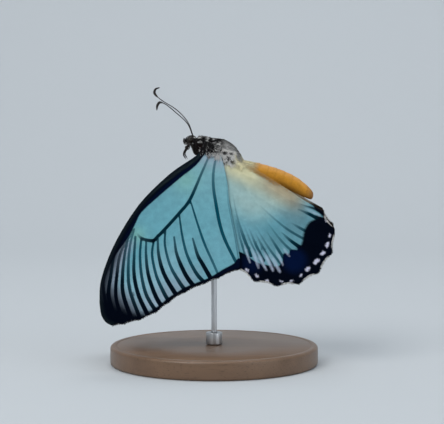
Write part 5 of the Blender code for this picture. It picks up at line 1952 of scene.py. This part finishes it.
for side, hand in SIDES:
    fore_places = flat_places(FORE_OUTLINE, (-8.0, -1.0), (5.0, 6.5), 4200, fore_chance)
    fore_marks = fore_root_marks(fore_places)
    hind_places = flat_places(HIND_OUTLINE, (3.0, -1.0), (14.0, 7.5), 3600, hind_chance)
    hind_marks = hind_root_marks(hind_places)
    for face, label in ((1, "upper"), (-1, "lower")):
        wing_hair(f"hair_root_fore_{label}_{hand}", fore_places, FORE_LIFT, side, face, 1.7, 0.2,
                  (1.0, 0.15), fore_marks)
        wing_hair(f"hair_root_hind_{label}_{hand}", hind_places, HIND_LIFT, side, face, 1.8, 0.2,
                  (1.0, 0.45), hind_marks)
    wool_places = flat_places(HIND_OUTLINE, (8.0, 0.0), (35.0, 15.0), 26000, wool_chance)
    for face, label in ((1, "upper"), (-1, "lower")):
        wing_hair(f"wool_hind_{label}_{hand}", wool_places, HIND_LIFT, side, face, 1.0, 0.085,
                  (-0.22, 1.0), wool_marks(wool_places), 0.14)
print("root hair places:", len(fore_places), len(hind_places), len(wool_places))

# %% Fringes
FRINGE_STEP = 0.3
FRINGE_SHIFT = 0.05
FRINGE_SUNK = 0.15
FRINGE_LENGTH, FRINGE_LENGTHS = 0.75, (0.7, 1.2)
FRINGE_WIDTH, FRINGE_THICKNESS = 0.34, 0.2
# White scales fade in over this distance from the nearest vein end
BAY_WHITE = (1.6, 2.6)
HIND_WHITE = 0.6


def fringe(name, ends, depth, inner_point, lift, side, white):
    """Flat scales that stand out from the margin, with white ones in the bays between the vein ends."""
    margin = spaced(scalloped(ends.values(), depth, inner_point), FRINGE_STEP)
    margin = margin[1:-1] + dice.normal(0.0, FRINGE_SHIFT, (len(margin) - 2, 2))
    aside = side_of(margin)
    outwards = aside * np.sign(np.sum(aside * (margin - np.array(inner_point)), axis=1))[:, None]
    mirror = np.array([1.0, side, 1.0])
    root = fold(margin - outwards * FRINGE_SUNK, lift)
    edge = fold(margin, lift)
    forward = (fold(margin + outwards * SMALL_STEP, lift) - edge) / SMALL_STEP
    off = fold(margin, lift + 1.0) - edge
    nearest = np.min(np.linalg.norm(margin[:, None] - np.array(list(ends.values()))[None], axis=2), axis=1)
    shade = dice.uniform(0.0, 1.0, len(margin))
    marks = all_marks(len(margin), {"pale": white * ramp(nearest, *BAY_WHITE), "shade": shade})
    long = FRINGE_LENGTH * dice.uniform(*FRINGE_LENGTHS, len(margin))
    made = plant(name, TUFT, root * mirror, forward * mirror, off * mirror,
                 lock_sizes(long, FRINGE_WIDTH, FRINGE_THICKNESS), COAT, marks, wing_map(margin))
    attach(made, "root")
    print(name, "has", len(margin), "scales")


for side, hand in SIDES:
    fringe("fringe_fore_" + hand, FORE_ENDS, FORE_SCALLOP, FORE_CUBITAL[-1], FORE_LIFT, side, 0.0)
    fringe("fringe_hind_" + hand, HIND_ENDS, HIND_SCALLOP, HIND_CUBITAL[-1], HIND_LIFT, side, HIND_WHITE)

# %% [markdown]
# ## Display stand
# The stand is plain museum ware: a turned wooden disc with eased rims and a fine groove, a steel socket with
# a recess round the rod, and a thin rod up to the thorax. Each could be cut from a cylinder. Here a profile
# is spun round the upright axis, as on a lathe, so that rims, groove and recess are each a few numbers.

# %% Wood
WOOD_LIGHT, WOOD_DARK, WOOD_PORE = (0.20, 0.115, 0.063, 1), (0.10, 0.055, 0.030, 1), (0.035, 0.018, 0.010, 1)
# The grain is drawn out along X: features to a metre and how little they change along the grain
LONG_GRAIN, LONG_STRETCH = 170.0, (0.06, 1.0, 1.0)
FINE_GRAIN, FINE_STRETCH = 2400.0, (0.035, 1.0, 1.0)
PORE_LEVEL, PORE_SOFT, PORE_STRENGTH = 0.37, 0.03, 0.5

WOOD, tree, shader = new_material("wood", 0.42, Coat_Weight=0.15, Coat_Roughness=0.3)
fine_grain = noise(tree, FINE_GRAIN, 2.0, FINE_STRETCH)
wood_colour = lay_over(tree, WOOD_DARK, WOOD_LIGHT, noise(tree, LONG_GRAIN, 4.0, LONG_STRETCH))
above_pores = math_node(tree, "SUBTRACT", fine_grain, PORE_LEVEL)
pores = math_node(tree, "MULTIPLY", inside_mask(tree, above_pores, PORE_SOFT), PORE_STRENGTH)
tree.links.new(lay_over(tree, wood_colour, WOOD_PORE, pores), shader.inputs["Base Color"])
add_bump(tree, shader, fine_grain, 0.25, 0.0001)
print("stand material:", WOOD.name)

# %% Steel
STEEL_DARK, STEEL_LIGHT = (0.42, 0.43, 0.45, 1), (0.68, 0.69, 0.70, 1)
BRUSHED_SCALE, BRUSHED_STRETCH = 2500.0, (1.0, 1.0, 0.04)

STEEL, tree, shader = new_material("steel", 0.3, Metallic=1.0)
brushed = noise(tree, BRUSHED_SCALE, 2.0, BRUSHED_STRETCH)
tree.links.new(lay_over(tree, STEEL_DARK, STEEL_LIGHT, brushed), shader.inputs["Base Color"])
add_bump(tree, shader, brushed, 0.2, 0.00003)
print("stand material:", STEEL.name)

# %% Spun shapes
RIM_STEPS = 6


def spun(name, profile, sides, material_list):
    """A closed round piece from a profile of (radius, height), in the world's own frame."""
    points = [(radius * math.cos(angle), radius * math.sin(angle), height)
              for radius, height in profile for angle in circle_turns(sides)]
    points += [(0.0, 0.0, profile[0][1]), (0.0, 0.0, profile[-1][1])]
    unposed = np.array(POSE.inverted())
    body_points = (np.array(points) * MM) @ unposed[:3, :3].T + unposed[:3, 3]
    return mesh_of(name, body_points, closed_rings(len(profile), sides), {}, material_list)


def rounded_rim(radius, low, high, ease):
    """A profile up the outside of a disc, with both rims eased."""
    bends = [math.pi / 2 * i / RIM_STEPS for i in range(RIM_STEPS + 1)]
    lower = [(radius - ease + ease * math.sin(b), low + ease - ease * math.cos(b)) for b in bends]
    upper = [(radius - ease + ease * math.cos(b), high - ease + ease * math.sin(b)) for b in bends]
    return lower + upper


print("rim points:", len(rounded_rim(1.0, 0.0, 1.0, 0.1)))

# %% Stand
BASE_RADIUS = 44.0
BASE_THICKNESS = 8.0
BASE_ROUND = 1.2
BASE_RINGS_BELOW = (0.3, 0.7)
BASE_RINGS_ABOVE = (20.0, 6.0)
# The groove's corners, as how far in from the rim and how deep
GROOVE = ((2.6, 0.0), (2.9, 0.25), (3.2, 0.0))
SOCKET_BOTTOM = 8.3
SOCKET_TOP = 13.3
SOCKET_RADIUS = 3.5
SOCKET_ROUND = 0.35
# The corners of the recess round the rod, as radius and depth
SOCKET_RECESS = ((1.7, 0.0), (1.45, 0.3), (0.5, 0.3))
ROD_RADIUS = 1.2
ROD_BOTTOM = 13.6
ROD_TOP = 85.2
ROD_RINGS = 8
ROD_THINNER = 0.02

base_profile = [(BASE_RADIUS * share, 0.0) for share in BASE_RINGS_BELOW]
base_profile += rounded_rim(BASE_RADIUS, 0.0, BASE_THICKNESS, BASE_ROUND)
base_profile += [(BASE_RADIUS - inwards, BASE_THICKNESS - depth) for inwards, depth in GROOVE]
base_profile += [(radius, BASE_THICKNESS) for radius in BASE_RINGS_ABOVE]
socket_profile = rounded_rim(SOCKET_RADIUS, SOCKET_BOTTOM, SOCKET_TOP, SOCKET_ROUND)
socket_profile += [(radius, SOCKET_TOP - depth) for radius, depth in SOCKET_RECESS]
# The rod is a hair thinner than its solid, starts in the socket's recess and narrows a little at its top
rod_heights = [ROD_BOTTOM - 0.3, *np.linspace(ROD_BOTTOM, ROD_TOP - 0.4, ROD_RINGS)]
rod_profile = [(ROD_RADIUS - 0.15, ROD_BOTTOM - 0.5)]
rod_profile += [(ROD_RADIUS - ROD_THINNER, height) for height in rod_heights]
rod_profile.append((ROD_RADIUS - 0.3, ROD_TOP))
base = spun("base_disc", base_profile, 128, (WOOD,))
socket = spun("socket_collar", socket_profile, 64, (STEEL,))
rod = spun("rod_fine", rod_profile, 32, (STEEL,))
for piece, node, surface in ((base, "stand_base", "stand_wood"), (socket, "stand_socket", "stand_steel"),
                             (rod, "stand_rod", "stand_steel")):
    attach(piece, "root")
    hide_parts(node)
print("stand faces:", sum(len(p.data.polygons) for p in (base, socket, rod)))

# %% [markdown]
# ## Finish
# The tuft and the bristle were only patterns to copy, so they go.

# %% Finish
for piece in (TUFT, BRISTLE):
    bpy.data.objects.remove(piece)
